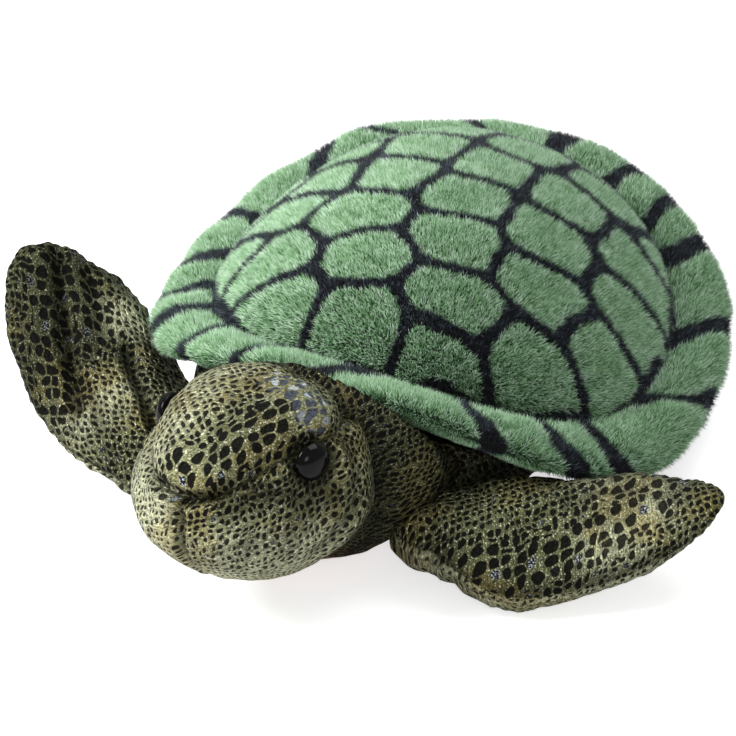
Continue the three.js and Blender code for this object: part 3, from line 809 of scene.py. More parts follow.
class Finishes:
    """Every finish of the turtle, made once."""

    def __init__(self) -> None:
        """Makes the node groups and the materials that use them."""
        grain, dots = cloth_grain(), snake_dots()
        self.head = ScaleCloth("head_scale_cloth").material(dots, grain)
        # Painted shade: this copy of the cloth, used on the flippers, the torso and the neck, has a darker
        # net than the head's, standing in for less light.
        flipper = ScaleCloth("flipper_scale_cloth", small=0.4, large=0.22, net=colour(112, 116, 80))
        self.flipper = flipper.material(dots, grain)
        self.pile = PlushPile().material()
        self.backing = PlushBacking().material(grain)
        self.belly = PlainCloth("belly_nap", colour(226, 150, 84), colour(168, 98, 46)).material(grain)
        lining = PlainCloth("shell_lining_cloth", colour(86, 100, 78), colour(52, 62, 48))
        self.lining = lining.material(grain)
        self.eye = Moulded("eye_plastic", colour(5, 5, 7), colour(12, 10, 11), 0.12, 0.3, 0.05).material()
        chalk, cream = colour(226, 224, 218), colour(204, 200, 190)
        self.washer = Moulded("washer_plastic", chalk, cream, 0.45, 0.1).material()


@dataclass
class ShellForm:
    """The shell's shape in millimetres, as the solids have it.

    The two tables bend the rim's edge up and down, and out and in, from degrees round it to millimetres.
    """

    length: float = 206.0
    width: float = 190.0
    taper: float = 0.03
    plan_power: float = 2.3
    seat_height: float = 54.5
    side_droop: float = 31.0
    pitch: float = 2.6
    lean: float = 8.5
    dome_height: float = 29.0
    dome_power: float = 2.3
    rim_width: float = 22.0
    rim_thickness: float = 12.0
    rim_root: float = 0.55
    rim_full: float = 0.36
    rim_flare: float = 9.0
    lining_depth: float = 1.8
    rim_lifts: tuple = (
        (-165, 0), (-150, -1.2), (-134, -3.2), (-116, -3.0), (-100, 0), (-60, 0), (-48, -2.8), (-36, -3),
        (-24, -1.6), (-8, 0), (60, 0), (78, -2.2), (92, -3.3), (108, -3.5), (116, -2), (124, 0.4), (132, 3.4),
        (140, 3.1), (148, 1.6), (156, 2.5), (164, 1.4), (175, 0.2),
    )
    rim_reaches: tuple = (
        (-180, 0.5), (-172, -2.2), (-162, -2.8), (-150, -1.5), (-138, 0), (-30, 0), (-20, -1.5), (-10, -2.2),
        (4, -2.4), (20, -1.3), (28, 0.9), (44, 1.1), (52, 0.4), (60, 1.4), (84, 1.2), (92, 0), (172, 0),
    )

    def seat(self, x: np.ndarray, y: np.ndarray) -> np.ndarray:
        """The height of the sheet that the shell is built on."""
        pitched, leaned = y * math.tan(math.radians(self.pitch)), x * math.tan(math.radians(self.lean))
        return self.seat_height + pitched - leaned - self.side_droop * (x / (self.width / 2)) ** 2

    def outline(self, turn: np.ndarray, inset: np.ndarray) -> tuple:
        """The plan outline's x and y, drawn in by an inset."""
        along, across = bulge(np.sin(turn), self.plan_power), bulge(np.cos(turn), self.plan_power)
        narrow = 1 - self.taper * along
        return (self.width / 2 - inset) * across * narrow, (self.length / 2 - inset) * along

    def dome(self, share: np.ndarray, turn: np.ndarray, inset: float) -> np.ndarray:
        """Places points on the dome.

        Args:
            share: How far out to the dome's edge each point lies, 0 to 1.
            turn: Its angle round the shell.
            inset: How far inside the solid's dome the surface lies.

        Returns:
            The points.
        """
        x, y = self.outline(turn, np.full_like(turn, self.rim_width + inset))
        x, y = x * share, y * share
        power = self.dome_power
        rise = (self.dome_height - inset) * (1 - np.clip(share, 0, 1) ** power) ** (1 / power)
        return np.column_stack([x, y, self.seat(x, y) + rise])

    def bent(self, table: tuple, turn: np.ndarray) -> np.ndarray:
        """What a table of the rim says at each angle round it."""
        return np.interp(np.degrees(turn), *zip(*table), period=360)

    def fullness(self, share: np.ndarray) -> np.ndarray:
        """How thick the rim is, from its seam at 0 to its edge at 1, as a share of its full thickness."""
        near = np.clip(share / self.rim_full, 0, 1)
        opening = self.rim_root + (1 - self.rim_root) * np.sin(math.pi / 2 * near)
        far = np.clip((share - self.rim_full) / (1 - self.rim_full), 0, 1)
        return np.where(share < self.rim_full, opening, np.sqrt(1 - far**2))

    def rim(self, share: np.ndarray, level: np.ndarray, turn: np.ndarray, inset: float) -> np.ndarray:
        """Places points on the rim.

        Args:
            share: How far out from the rim's seam each point lies, 0 to 1.
            level: Where it lies from the rim's lower side at -1 to its upper side at 1.
            turn: Its angle round the shell.
            inset: How far inside the solid's rim the surface lies.

        Returns:
            The points.
        """
        root = self.rim_width + 0.3
        edge_inset = root + (inset - self.bent(self.rim_reaches, turn) - root) * share
        x, y = self.outline(turn, edge_inset)
        flare = self.rim_flare * (1 - edge_inset / self.rim_width) + self.bent(self.rim_lifts, turn) * share
        return np.column_stack([x, y, self.seat(x, y) + flare + level * (self.rim_thickness / 2 - inset)])

    def inset_at(self, x: np.ndarray, y: np.ndarray) -> np.ndarray:
        """Finds by halving how far inside the outline points lie in plan.

        Args:
            x: The points' x.
            y: The points' y.

        Returns:
            Their insets, which are negative outside the outline.
        """
        low, high = np.full_like(x, -60.0), np.full_like(x, self.width / 2 - 0.5)
        for _ in range(26):
            middle = (low + high) / 2
            along = y / (self.length / 2 - middle)
            narrow = 1 - self.taper * np.clip(along, -1.2, 1.2)
            across = x / ((self.width / 2 - middle) * narrow)
            inside = np.abs(across) ** self.plan_power + np.abs(along) ** self.plan_power < 1
            low, high = np.where(inside, middle, low), np.where(inside, high, middle)
        return (low + high) / 2

    def underside(self, points: np.ndarray) -> np.ndarray:
        """Finds the height of the shell's underside over points.

        Args:
            points: The points, whose heights don't count.

        Returns:
            One height for each point, and a great one outside the shell.
        """
        x, y = points[:, 0], points[:, 1]
        inset, seat = self.inset_at(x, y), self.seat(x, y)
        share = np.clip(1 - inset / (self.rim_width - 0.3), 0, 1)
        lift = self.bent(self.rim_lifts, np.arctan2(y / self.length, x / self.width)) * share
        flare = self.rim_flare * (1 - inset / self.rim_width) + lift
        below = seat + flare - self.rim_thickness / 2 * self.fullness(share) - 0.15
        return np.where(inset < 0, 1e6, np.where(inset > self.rim_width, seat - self.lining_depth, below))

    def tucked(self, points: np.ndarray, gap: float, nods: tuple = (0,), turns: tuple = (0,)) -> np.ndarray:
        """Pushes points down until they clear the shell, also while they nod and turn with the head.

        Args:
            points: The points in millimetres.
            gap: How far below the shell they stay.
            nods: The nods to clear, in degrees.
            turns: The turns to clear, in degrees.

        Returns:
            The pushed points.
        """
        across = np.array([math.cos(math.radians(TORSO_TURN)), math.sin(math.radians(TORSO_TURN)), 0.0])
        for nod in nods:
            for turn in turns:
                moved = about(about(points, UP, turn, NECK_CENTRE), across, nod, NECK_CENTRE)
                moved[:, 2] = np.minimum(moved[:, 2], self.underside(moved) - gap)
                points = about(about(moved, across, -nod, NECK_CENTRE), UP, -turn, NECK_CENTRE)
        return points


@dataclass
class PilePlanter:
    """Plants strands of pile, sized in millimetres, on a skin as pieces of their own."""

    finish: bpy.types.Material
    width: float = 0.18
    length: float = 3.8
    mess: float = 0.42

    def nodes(self, name: str, strands: float, seed: int) -> bpy.types.NodeTree:
        """The planting steps as geometry nodes.

        Args:
            name: The node tree's name.
            strands: How many strands stand on a square millimetre.
            seed: Picks where they stand.

        Returns:
            The node tree.
        """
        tree = bpy.data.node_groups.new(name, "GeometryNodeTree")
        for way in ("INPUT", "OUTPUT"):
            tree.interface.new_socket("Geometry", in_out=way, socket_type="NodeSocketGeometry")
        book = NodeBook(tree)
        source, sink = book.add("NodeGroupInput").outputs[0], book.add("NodeGroupOutput")
        density = book.times(book.kept("pile_share"), strands / MM**2)
        scatter = book.add("GeometryNodeDistributePointsOnFaces", Mesh=source, Density=density, Seed=seed)
        astray = book.chance_vector((-1, -1, -1), (1, 1, 1), seed + 1)
        lean = book.vector("MULTIPLY_ADD", astray, (self.mess,) * 3, book.kept("comb", "FLOAT_VECTOR"))
        clump = book.add("ShaderNodeTexNoise", Scale=260.0, Detail=1.0).outputs["Color"]
        swirl = book.vector("ADD", book.vector("SUBTRACT", clump, (0.5,) * 3), lean)
        way = book.vector("ADD", scatter.outputs["Normal"], swirl)
        stand = book.add("FunctionNodeAlignRotationToVector", {"axis": "Z"}, Vector=way).outputs[0]
        spin = book.chance_vector((0, 0, 0), (0, 0, ROUND), seed + 2)
        spin = book.add("FunctionNodeEulerToRotation", Euler=spin)
        local = {"rotation_space": "LOCAL"}
        stand = book.add("FunctionNodeRotateRotation", local, i0=stand, i1=spin.outputs[0]).outputs[0]
        tall = book.times(book.kept("pile_height"), book.chance(0.7, 1.12, seed + 3))
        points = self.marked(book, scatter.outputs[0], seed + 4)
        planted = book.add(
            "GeometryNodeInstanceOnPoints", Points=points, Instance=self.strand(book), Rotation=stand,
            Scale=book.add("ShaderNodeCombineXYZ", i0=1.0, i1=1.0, i2=tall).outputs[0],
        )
        book.fill(sink, i0=book.add("GeometryNodeRealizeInstances", Geometry=planted.outputs[0]).outputs[0])
        return tree

    def strand(self, book: NodeBook) -> bpy.types.NodeSocket:
        """One strand, a thin cone that knows how near its tip each point lies."""
        cone = book.add(
            "GeometryNodeMeshCone", {"fill_type": "NGON"}, Vertices=3, Side_Segments=1, Radius_Top=0.0,
            Radius_Bottom=self.width * MM, Depth=self.length * MM,
        )
        up = book.add("ShaderNodeSeparateXYZ", i0=book.add("GeometryNodeInputPosition").outputs[0]).outputs[2]
        return book.keep(cone.outputs[0], "tip", book.math("DIVIDE", up, self.length * MM))

    def marked(self, book: NodeBook, points: bpy.types.NodeSocket, seed: int) -> bpy.types.NodeSocket:
        """Marks where the strands stand, with the shade of each and with the dark lines' ragged edges.

        Args:
            book: The tree's nodes.
            points: Where the strands stand.
            seed: Picks the single strands' shades.

        Returns:
            The socket of the marked points.
        """
        tuft = book.plus(book.times(book.less(book.noise(420.0, 1.0), 0.5), 1.3), 0.5)
        shade = book.add("ShaderNodeClamp", Value=book.plus(tuft, book.chance(-0.42, 0.42, seed))).outputs[0]
        ragged = book.plus(book.kept("line"), book.times(book.less(book.noise(560.0, 2.0), 0.5), 1.1))
        return book.keep(book.keep(points, "strand", shade), "line", book.step(ragged, 0.44, 0.56))

    def plant(
        self, skin: bpy.types.Object, name: str, share: np.ndarray, strands: float, seed: int,
    ) -> bpy.types.Object:
        """Grows one piece of pile on part of a skin.

        Args:
            skin: The skin, with its comb, tone, line and pile_height painted on.
            name: The new piece's name.
            share: How much of the full pile each point of the skin carries.
            strands: How many strands stand on a square millimetre at full pile.
            seed: Picks where they stand.

        Returns:
            The piece of pile.
        """
        pile = bpy.data.objects.new(name, skin.data.copy())
        bpy.context.scene.collection.objects.link(pile)
        paint(pile, pile_share=share)
        modifier = pile.modifiers.new("planting", "NODES")
        modifier.node_group = self.nodes(name + "_planting", strands, seed)
        graph = bpy.context.evaluated_depsgraph_get()
        grown = bpy.data.meshes.new_from_object(pile.evaluated_get(graph))
        pile.modifiers.clear()
        bare, pile.data = pile.data, grown
        bpy.data.meshes.remove(bare)
        for spare in ("pile_share", "comb", "pile_height"):
            if spare in grown.attributes:
                grown.attributes.remove(grown.attributes[spare])
        grown.polygons.foreach_set("use_smooth", np.ones(len(grown.polygons), bool))
        grown.materials.clear()
        grown.materials.append(self.finish)
        log.info("%s: %d strands", name, len(grown.polygons) // 4)
        return pile


@dataclass
class Shell:
    """The domed plush shell with its stuffed rim.

    The scutes are given by their middles in plan, and the rim's dark bands by their degrees round the shell
    at the rim's seam and at its edge.
    """

    finishes: Finishes
    form: ShellForm
    backing_depth: float = 1.7
    dome_steps: int = 176
    rim_sections: int = 64
    rim_turns: int = 400
    section_wall: float = 0.86 * math.pi
    band_radius: float = 92.0
    line_half_width: float = 1.95
    line_softness: float = 2.4
    corner_softness: float = 0.8
    pile_parts: int = 6
    scutes: tuple = (
        (-20, 32), (7, 26), (31, 28), (56, 23), (-20, 5), (5, 0), (34, 0), (64, -1), (-52, -18), (-21, -24),
        (11, -25), (40, -26), (65, -29), (-40, -48), (-12, -47), (21, -53), (47, -58), (-33, -68), (-4, -70),
        (23, -71), (-47, 30), (-46, 4), (-66, 12), (-71, -8), (-48, 54), (-19, 57), (10, 54), (38, 53),
        (-28, 79), (2, 81), (32, 78), (-66, 36), (62, 48), (-63, -36),
    )
    bands: tuple = (
        (152, 140), (118, 131), (95, 107), (85.5, 86), (70, 69), (52, 59), (40, 44.5), (9, 23), (-15, 1),
        (-36.5, -35), (-50, -46), (-70, -63), (-88, -94), (-106, -108), (-128, -124), (-144, -142),
        (-159, -157), (-176, -172), (172, 170),
    )

    def scute_field(self, x: np.ndarray, y: np.ndarray) -> np.ndarray:
        """Measures from points to the nearest line between two scutes, rounded at the corners.

        Args:
            x: The points' x.
            y: The points' y.

        Returns:
            One distance for each point.
        """
        place = np.column_stack([x, y])
        place = place + 1.5 * np.column_stack([waves(np.column_stack([x, y, x * 0]), 26, k) for k in (3, 4)])
        centres = np.array(self.scutes, float)
        apart = np.linalg.norm(place[:, None, :] - centres[None], axis=2)
        first = np.argmin(apart, axis=1)
        near = apart[np.arange(len(place)), first]
        soft = np.zeros(len(place))
        for k in range(len(centres)):
            gap = np.linalg.norm(centres[k] - centres[first], axis=1)
            border = (apart[:, k] ** 2 - near**2) / (2 * np.maximum(gap, 1e-6))
            soft += np.where(first == k, 0.0, np.exp(-np.clip(border, 0, 60) * self.corner_softness))
        return -np.log(np.maximum(soft, 1e-9)) / self.corner_softness

    def dome(self) -> tuple:
        """Builds the dome's skin.

        Returns:
            The piece and, for each of its points, the share of the way out, the distance from a dark line,
            and whether it lies in the hem under the dome.
        """
        bm = bmesh.new()
        bmesh.ops.create_grid(bm, x_segments=self.dome_steps, y_segments=self.dome_steps, size=1)
        edge = [e for e in bm.edges if e.is_boundary]
        grown = bmesh.ops.extrude_edge_only(bm, edges=edge)["geom"]
        hem = [v for v in grown if isinstance(v, bmesh.types.BMVert)]
        bmesh.ops.translate(bm, verts=hem, vec=(0, 0, -1))
        bmesh.ops.edgeloop_fill(bm, edges=[e for e in bm.edges if e.is_boundary])
        piece = piece_from(bm, "shell_dome_skin", self.finishes.backing)
        flat = points_of(piece.data)
        hemmed = flat[:, 2] < -0.5
        share, turn = disc(flat)
        points = self.form.dome(share, turn, 0.2)
        points[:, 2] -= self.backing_depth - 0.2
        points[:, 2] += 0.7 * waves(points, 34, 11) * (1 - share**4)
        under = self.form.dome(np.full_like(share, 1.0), turn, 0.0)
        points[hemmed] = under[hemmed]
        points[hemmed, 2] = self.form.seat(under[hemmed, 0], under[hemmed, 1]) - 0.4
        put(piece, points)
        # Along the dome's edge, at the crevice by the rim, the dark line is widened: partly a dark line and
        # partly painted shade in the crevice.
        ragged = np.clip(2.2 + 1.6 * waves(points, 22, 5), -0.5, 3.8)
        line = np.minimum(self.scute_field(points[:, 0], points[:, 1]), (1 - share) * 80 + 2.4 - ragged)
        return piece, share, line, hemmed

    def rim(self) -> tuple:
        """Builds the rim's skin.

        Returns:
            The piece, each point's share of the way out, its level, and its distance from a dark line.
        """
        bm = bmesh.new()
        ring = bmesh.ops.create_circle(bm, segments=self.rim_sections, radius=1)["verts"]
        for v in ring:
            v.co = Vector((v.co.x + 4, 0, v.co.y))
        bmesh.ops.spin(
            bm, geom=bm.verts[:] + bm.edges[:], cent=(0, 0, 0), axis=(0, 0, 1), angle=2 * math.pi,
            steps=self.rim_turns, use_merge=True,
        )
        piece = piece_from(bm, "shell_rim_skin", self.finishes.backing)
        raw = points_of(piece.data)
        turn = np.arctan2(raw[:, 1], raw[:, 0])
        section = np.arctan2(raw[:, 2], np.hypot(raw[:, 0], raw[:, 1]) - 4)
        bend, wall = np.abs(section), self.section_wall
        share = np.where(bend < wall, (1 + np.cos(bend / wall * math.pi)) / 2, 0.0)
        closing = self.form.rim_root * (math.pi - bend) / (math.pi - wall)
        level = np.where(bend < wall, self.form.fullness(share), closing) * np.sign(section)
        points = self.form.rim(share, level, turn, self.backing_depth)
        points[:, 2] += 0.9 * waves(points, 30, 21) * ease(0.1, 0.6, share)
        line = self.band_field(points, share, np.degrees(turn))
        scallop = 1.5 * ease(0, 10, line) * np.sin(math.pi * np.clip(share, 0, 1)) ** 0.5 - 0.7
        out = np.column_stack([np.cos(turn), np.sin(turn), 0.6 * np.sign(section)])
        put(piece, points + out * scallop[:, None] * ease(0.1, 0.5, share)[:, None])
        # Along the rim's seam, at the crevice by the dome, the dark line is widened except towards the front:
        # partly a dark line and partly painted shade in the crevice.
        ragged = np.clip(2.0 + 1.6 * waves(points, 24, 9), -1.0, 3.6)
        ragged = ragged * ease(-110, -60, points[:, 1] - 30 * np.sign(points[:, 0]))
        return piece, share, level, np.minimum(line, share * 22 + 2.6 - ragged)

    def band_field(self, points: np.ndarray, share: np.ndarray, degrees: np.ndarray) -> np.ndarray:
        """Measures from points of the rim to the edges of its dark bands.

        Args:
            points: The points.
            share: How far out from the rim's seam each of them lies.
            degrees: Where it lies round the shell.

        Returns:
            One distance for each point.
        """
        line = np.full(len(points), FAR_OFF)
        wobble = 2.0 * waves(points, 18, 8)
        wide = 1.3 * ease(120, 150, np.abs(degrees)) + 0.7 * ease(40, 10, np.abs(degrees - 20))
        # Near the rim's seam, from -10 to 95 degrees round, the bands widen: partly dark bands and partly
        # painted shade in the crevice.
        wide += 2.2 * ease(0.5, 0.0, share) * ease(-30, -10, degrees) * ease(115, 95, degrees)
        for root, edge in self.bands:
            apart = (degrees - (root + (edge - root) * share) + 180) % 360 - 180
            line = np.minimum(line, np.abs(np.radians(apart) * self.band_radius + wobble) - 1.5 - wide)
        return line

    def dress_skin(
        self, piece: bpy.types.Object, line: np.ndarray, comb: np.ndarray, height: np.ndarray,
    ) -> None:
        """Paints what the pile needs onto a skin.

        Args:
            piece: The skin.
            line: How far each point lies from a dark line's middle, in millimetres.
            comb: Which way the strands lean there.
            height: How long they are there, as a share.
        """
        half = self.line_half_width
        dark = 1 - np.clip((line - half) / self.line_softness + 0.5, 0, 1)
        paint(piece, line=dark, tone=ease(half, half + 7, line), comb=comb, pile_height=height)

    def plant(self, skin: bpy.types.Object, name: str, share: np.ndarray, strands: float, seed: int) -> None:
        """Plants a skin's pile in equal parts round the shell, and hands them to the torso's body.

        Args:
            skin: The dressed skin.
            name: The pieces' name, to which their number is added.
            share: How much of the full pile each point of the skin carries.
            strands: How many strands stand on a square millimetre at full pile.
            seed: Picks where the first piece's strands stand.
        """
        planter = PilePlanter(self.finishes.pile)
        points = points_of(skin.data) / MM
        turn = np.degrees(np.arctan2(points[:, 1], points[:, 0])) % 360
        step = 360 // self.pile_parts
        for part in range(self.pile_parts):
            mask = ((turn >= part * step) & (turn < part * step + step)).astype(float)
            pile = planter.plant(skin, f"{name}_{part + 1}", mask * share, strands, seed + part)
            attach(pile, "torso")

    def lining(self) -> bpy.types.Object:
        """Builds the cloth sheet under the shell."""
        bm = bmesh.new()
        bmesh.ops.create_grid(bm, x_segments=60, y_segments=60, size=1)
        piece = piece_from(bm, "shell_lining_skin", self.finishes.lining)
        share, turn = disc(points_of(piece.data))
        x, y = self.form.outline(turn, np.full_like(turn, self.form.rim_width + 0.4))
        x, y = x * share, y * share
        put(piece, np.column_stack([x, y, self.form.seat(x, y) - 0.65]))
        wall = piece.modifiers.new("wall", "SOLIDIFY")
        wall.thickness = 1.1 * MM
        wall.offset = -1
        return piece

    def build(self) -> None:
        """Builds the skins, plants the pile and hands them to the torso's body."""
        dome, share, line, hemmed = self.dome()
        comb = 0.3 * outward(points_of(dome.data) / MM) + np.array([0.0, -0.08, 0.14])
        self.dress_skin(dome, line, comb, np.where(share > 0.97, 0.8, 1.0))
        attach(dome, "torso")
        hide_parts("shell_dome_cover", "shell_filling")
        self.plant(dome, "shell_dome_pile", ~hemmed, 8.4, 40)
        rim, share, level, line = self.rim()
        out = outward(points_of(rim.data) / MM)
        comb = 0.25 * out * ease(-0.2, 0.6, level)[:, None] + np.array([0.0, -0.05, 0.1])
        below = ease(0.35, -0.25, level) * ease(1.0, 0.93, share)
        over_head = ease(-0.7, -0.6, out[:, 0]) * ease(0.44, 0.34, out[:, 0]) * (out[:, 1] < 0)
        lip = ease(0.45, -0.1, level) * over_head
        self.dress_skin(rim, line, comb, 1 - np.maximum(0.68 * below, 0.78 * lip))
        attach(rim, "torso")
        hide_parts("rim_top_panel", "rim_under_panel", "rim_wadding")
        self.plant(rim, "shell_rim_pile", ease(0.02, 0.12, share) * (1 - 0.3 * below), 7.6, 60)
        lining = self.lining()
        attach(lining, "torso")
        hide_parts("shell_base_lining")
        log.info("shell built")


@dataclass
class Torso:
    """The swollen cloth body under the shell, with its flat belly."""

    finishes: Finishes
    shell: ShellForm
    half_width: float = 62.0
    half_length: float = 97.0
    top_half_height: float = 40.0
    bottom_half_height: float = 28.5
    middle: float = 28.0
    forward: float = 9.0
    plan_power: float = 2.6
    upright_power: float = 2.7
    belly_seam: float = 8.5
    dish_radius: float = 42.2

    def form(self, polar: np.ndarray, turn: np.ndarray) -> np.ndarray:
        """Places the swollen body's points, before its seams.

        Args:
            polar: Each point's angle from the upper pole.
            turn: Its angle round the upright axis.

        Returns:
            The points.
        """
        level, height = bulge(np.sin(polar), self.upright_power), bulge(np.cos(polar), self.upright_power)
        half = np.where(height > 0, self.top_half_height, self.bottom_half_height)
        points = np.column_stack([
            self.half_width * level * bulge(np.cos(turn), self.plan_power),
            self.half_length * level * bulge(np.sin(turn), self.plan_power) - self.forward,
            self.middle + half * height,
        ])
        return turned(points, TORSO_TURN)

    def held(self, points: np.ndarray, polar: np.ndarray, _: np.ndarray) -> np.ndarray:
        """Which points the belly's seam, the neck and the flat belly hold."""
        neck = np.linalg.norm(points - NECK_CENTRE, axis=1) < self.dish_radius + 4
        seam = np.abs(points[:, 2] - self.belly_seam) < 1.6
        return neck | seam | (points[:, 2] < 2) | (np.sin(polar) < 0.03)

    def build(self) -> None:
        """Builds the torso's skin, with the belly as a second cloth below its seam."""
        piece, polar, turn = ball_piece("torso_skin", 176, 110, self.finishes.flipper)
        points = self.form(polar, turn)
        normals = faced(piece, points)
        swell = 0.9 * waves(points, 30, 31) + 0.35 * waves(points, 11, 32)
        swell += groove(np.abs(points[:, 2] - self.belly_seam), 1.6, 1.1)
        points = points + normals * np.minimum(swell, 0.6)[:, None]
        points = points + Stuffing(80, 56).moves(self.form, self.held, polar, turn)
        away = points - NECK_CENTRE
        far = np.linalg.norm(away, axis=1)
        points = NECK_CENTRE + away * (np.maximum(far, self.dish_radius) / far)[:, None]
        points = self.shell.tucked(points, 0.9)
        points[:, 2] = np.maximum(points[:, 2], 0.05)
        put(piece, points)
        # Painted shade: the body's cloth is darker all over, and darker still close under the shell.
        under = self.shell.underside(points) - points[:, 2]
        paint(
            piece, sheet=np.column_stack([turn * 70, polar * 48, turn * 0 + 3]), pale=0.0, foil=0.4,
            gleam=0.0, dot_size=ease(-0.3, 0.6, waves(points, 60, 33)), shade=0.3 + 0.5 * ease(30, 4, under),
        )
        line_belly(piece, self.finishes.belly, self.belly_seam)
        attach(piece, "torso")
        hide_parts("torso_cloth", "torso_filling", "belly_panel", "pellet_bag")
        log.info("torso built")


@dataclass
class Neck:
    """The stuffed sleeve from the chest to the back of the head, pushed down to clear the shell also while
    the head nods.

    Its stations give how far back from the neck's middle each lies, its half width and half height, and its
    drop.
    """

    finishes: Finishes
    shell: ShellForm
    stations: tuple = (
        (-8, 27, 23, -2), (0, 31.5, 27, -3), (7, 34.5, 30.5, -4), (13, 40, 33, -4), (20, 43.5, 33.5, -3.5),
        (30, 46.5, 33, -3), (42, 49, 34, -3), (52, 50, 34, -4),
    )
    closing: float = 0.12
    belly_seam: float = 9.0

    def build(self) -> None:
        """Builds the sleeve as a swollen tube with closed ends inside the head and the chest."""
        piece, polar, turn = ball_piece("neck_sleeve", 150, 90, self.finishes.flipper)
        stations = np.array(self.stations, float)
        share = polar / math.pi
        spread = np.clip((share - self.closing) / (1 - 2 * self.closing), 0, 1)
        end = np.minimum(1, np.minimum(share, 1 - share) / self.closing)
        along = stations[0, 0] + (stations[-1, 0] - stations[0, 0]) * spread
        width, height, drop = (np.interp(along, stations[:, 0], stations[:, k]) for k in (1, 2, 3))
        close = np.sin(math.pi / 2 * end)
        points = np.column_stack([width * close * np.cos(turn), along, height * close * np.sin(turn) + drop])
        points = turned(points, TORSO_TURN) + NECK_CENTRE
        normals = faced(piece, points)
        fold = 0.9 * waves(points, 17, 41, (2.4, 1, 2.4)) + 0.4 * waves(points, 8, 42, (2, 1, 2))
        points = points + normals * np.minimum(fold, 0.8)[:, None]
        points = self.shell.tucked(points, 1.2, (-3, 0, 6))
        points[:, 2] = np.maximum(points[:, 2], 3.0)
        put(piece, points)
        # Painted shade: the sleeve is dark all over, darker close under the shell and in a band just behind
        # the head.
        under = self.shell.underside(points) - points[:, 2]
        shade = 0.55 + 0.35 * ease(40, 6, under) + 0.35 * hill(along - 7, 4.5)
        paint(
            piece, sheet=np.column_stack([along * 1.1, turn * 42, turn * 0 + 7]), pale=0.0, foil=0.3,
            gleam=0.0, dot_size=np.clip(0.3 + 0.4 * waves(points, 30, 43), 0, 1),
            shade=np.clip(shade, 0, 0.95),
        )
        line_belly(piece, self.finishes.belly, self.belly_seam)
        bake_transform(piece)
        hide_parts("neck_cloth", "neck_filling")
        log.info("neck built")


@dataclass
class HeadForm:
    """The head's shape in millimetres, about its own middle, with the nose along -Y."""

    half_width: float = 35.0
    front: float = 41.0
    back: float = 30.0
    top: float = 30.0
    bottom: float = 29.5
    plan_power: float = 2.25
    upright_power: float = 2.2
    muzzle: float = 0.12
    nape: float = 0.1
    brow_rise: float = 21.0
    brow_forward: float = 12.0
    nose_rise: float = 9.0
    eye_turn: float = 14.0
    eye_polar: float = 57.0
    eye_facing: float = 12.0
    eye_sunk: float = 2.0

    def point(self, polar: np.ndarray, turn: np.ndarray) -> np.ndarray:
        """Places points of the head in its own frame.

        Args:
            polar: Each point's angle from the upper pole.
            turn: Its angle round the upright axis.

        Returns:
            The points.
        """
        level, height = bulge(np.sin(polar), self.upright_power), bulge(np.cos(polar), self.upright_power)
        along = level * bulge(np.sin(turn), self.plan_power)
        across = level * bulge(np.cos(turn), self.plan_power)
        narrow = 1 - np.where(along < 0, self.muzzle, self.nape) * along**2
        length = np.where(along < 0, self.front, self.back)
        tall = np.where(height > 0, self.top, self.bottom)
        return np.column_stack([self.half_width * across * narrow, length * along, tall * height])

    def seam_height(self, y: np.ndarray) -> np.ndarray:
        """The height of the gusset's seam along the head."""
        share = np.clip((y + self.brow_forward) / (self.brow_forward - self.front), 0, 1)
        return self.brow_rise + (self.nose_rise - self.brow_rise) * share**1.8

    def eye_seat(self, side: Side) -> tuple:
        """Finds where an eye sits.

        Args:
            side: Which eye.

        Returns:
            The point of the cloth under the eye, and the way that the eye faces.
        """
        lean = math.radians(self.eye_turn)
        turn = -lean if side is Side.LEFT else math.pi + lean
        polar, nudge = math.radians(self.eye_polar), math.radians(1)
        spots = self.point(np.array([polar, polar + nudge, polar]), np.array([turn, turn, turn + nudge]))
        square = np.cross(spots[1] - spots[0], spots[2] - spots[0])
        square /= np.linalg.norm(square)
        plan = math.radians(self.eye_facing)
        facing = np.array([side.value * math.cos(plan), -math.sin(plan), -0.07])
        return spots[0] - square * self.eye_sunk + np.array([0, 0, 0.8]), facing / np.linalg.norm(facing)


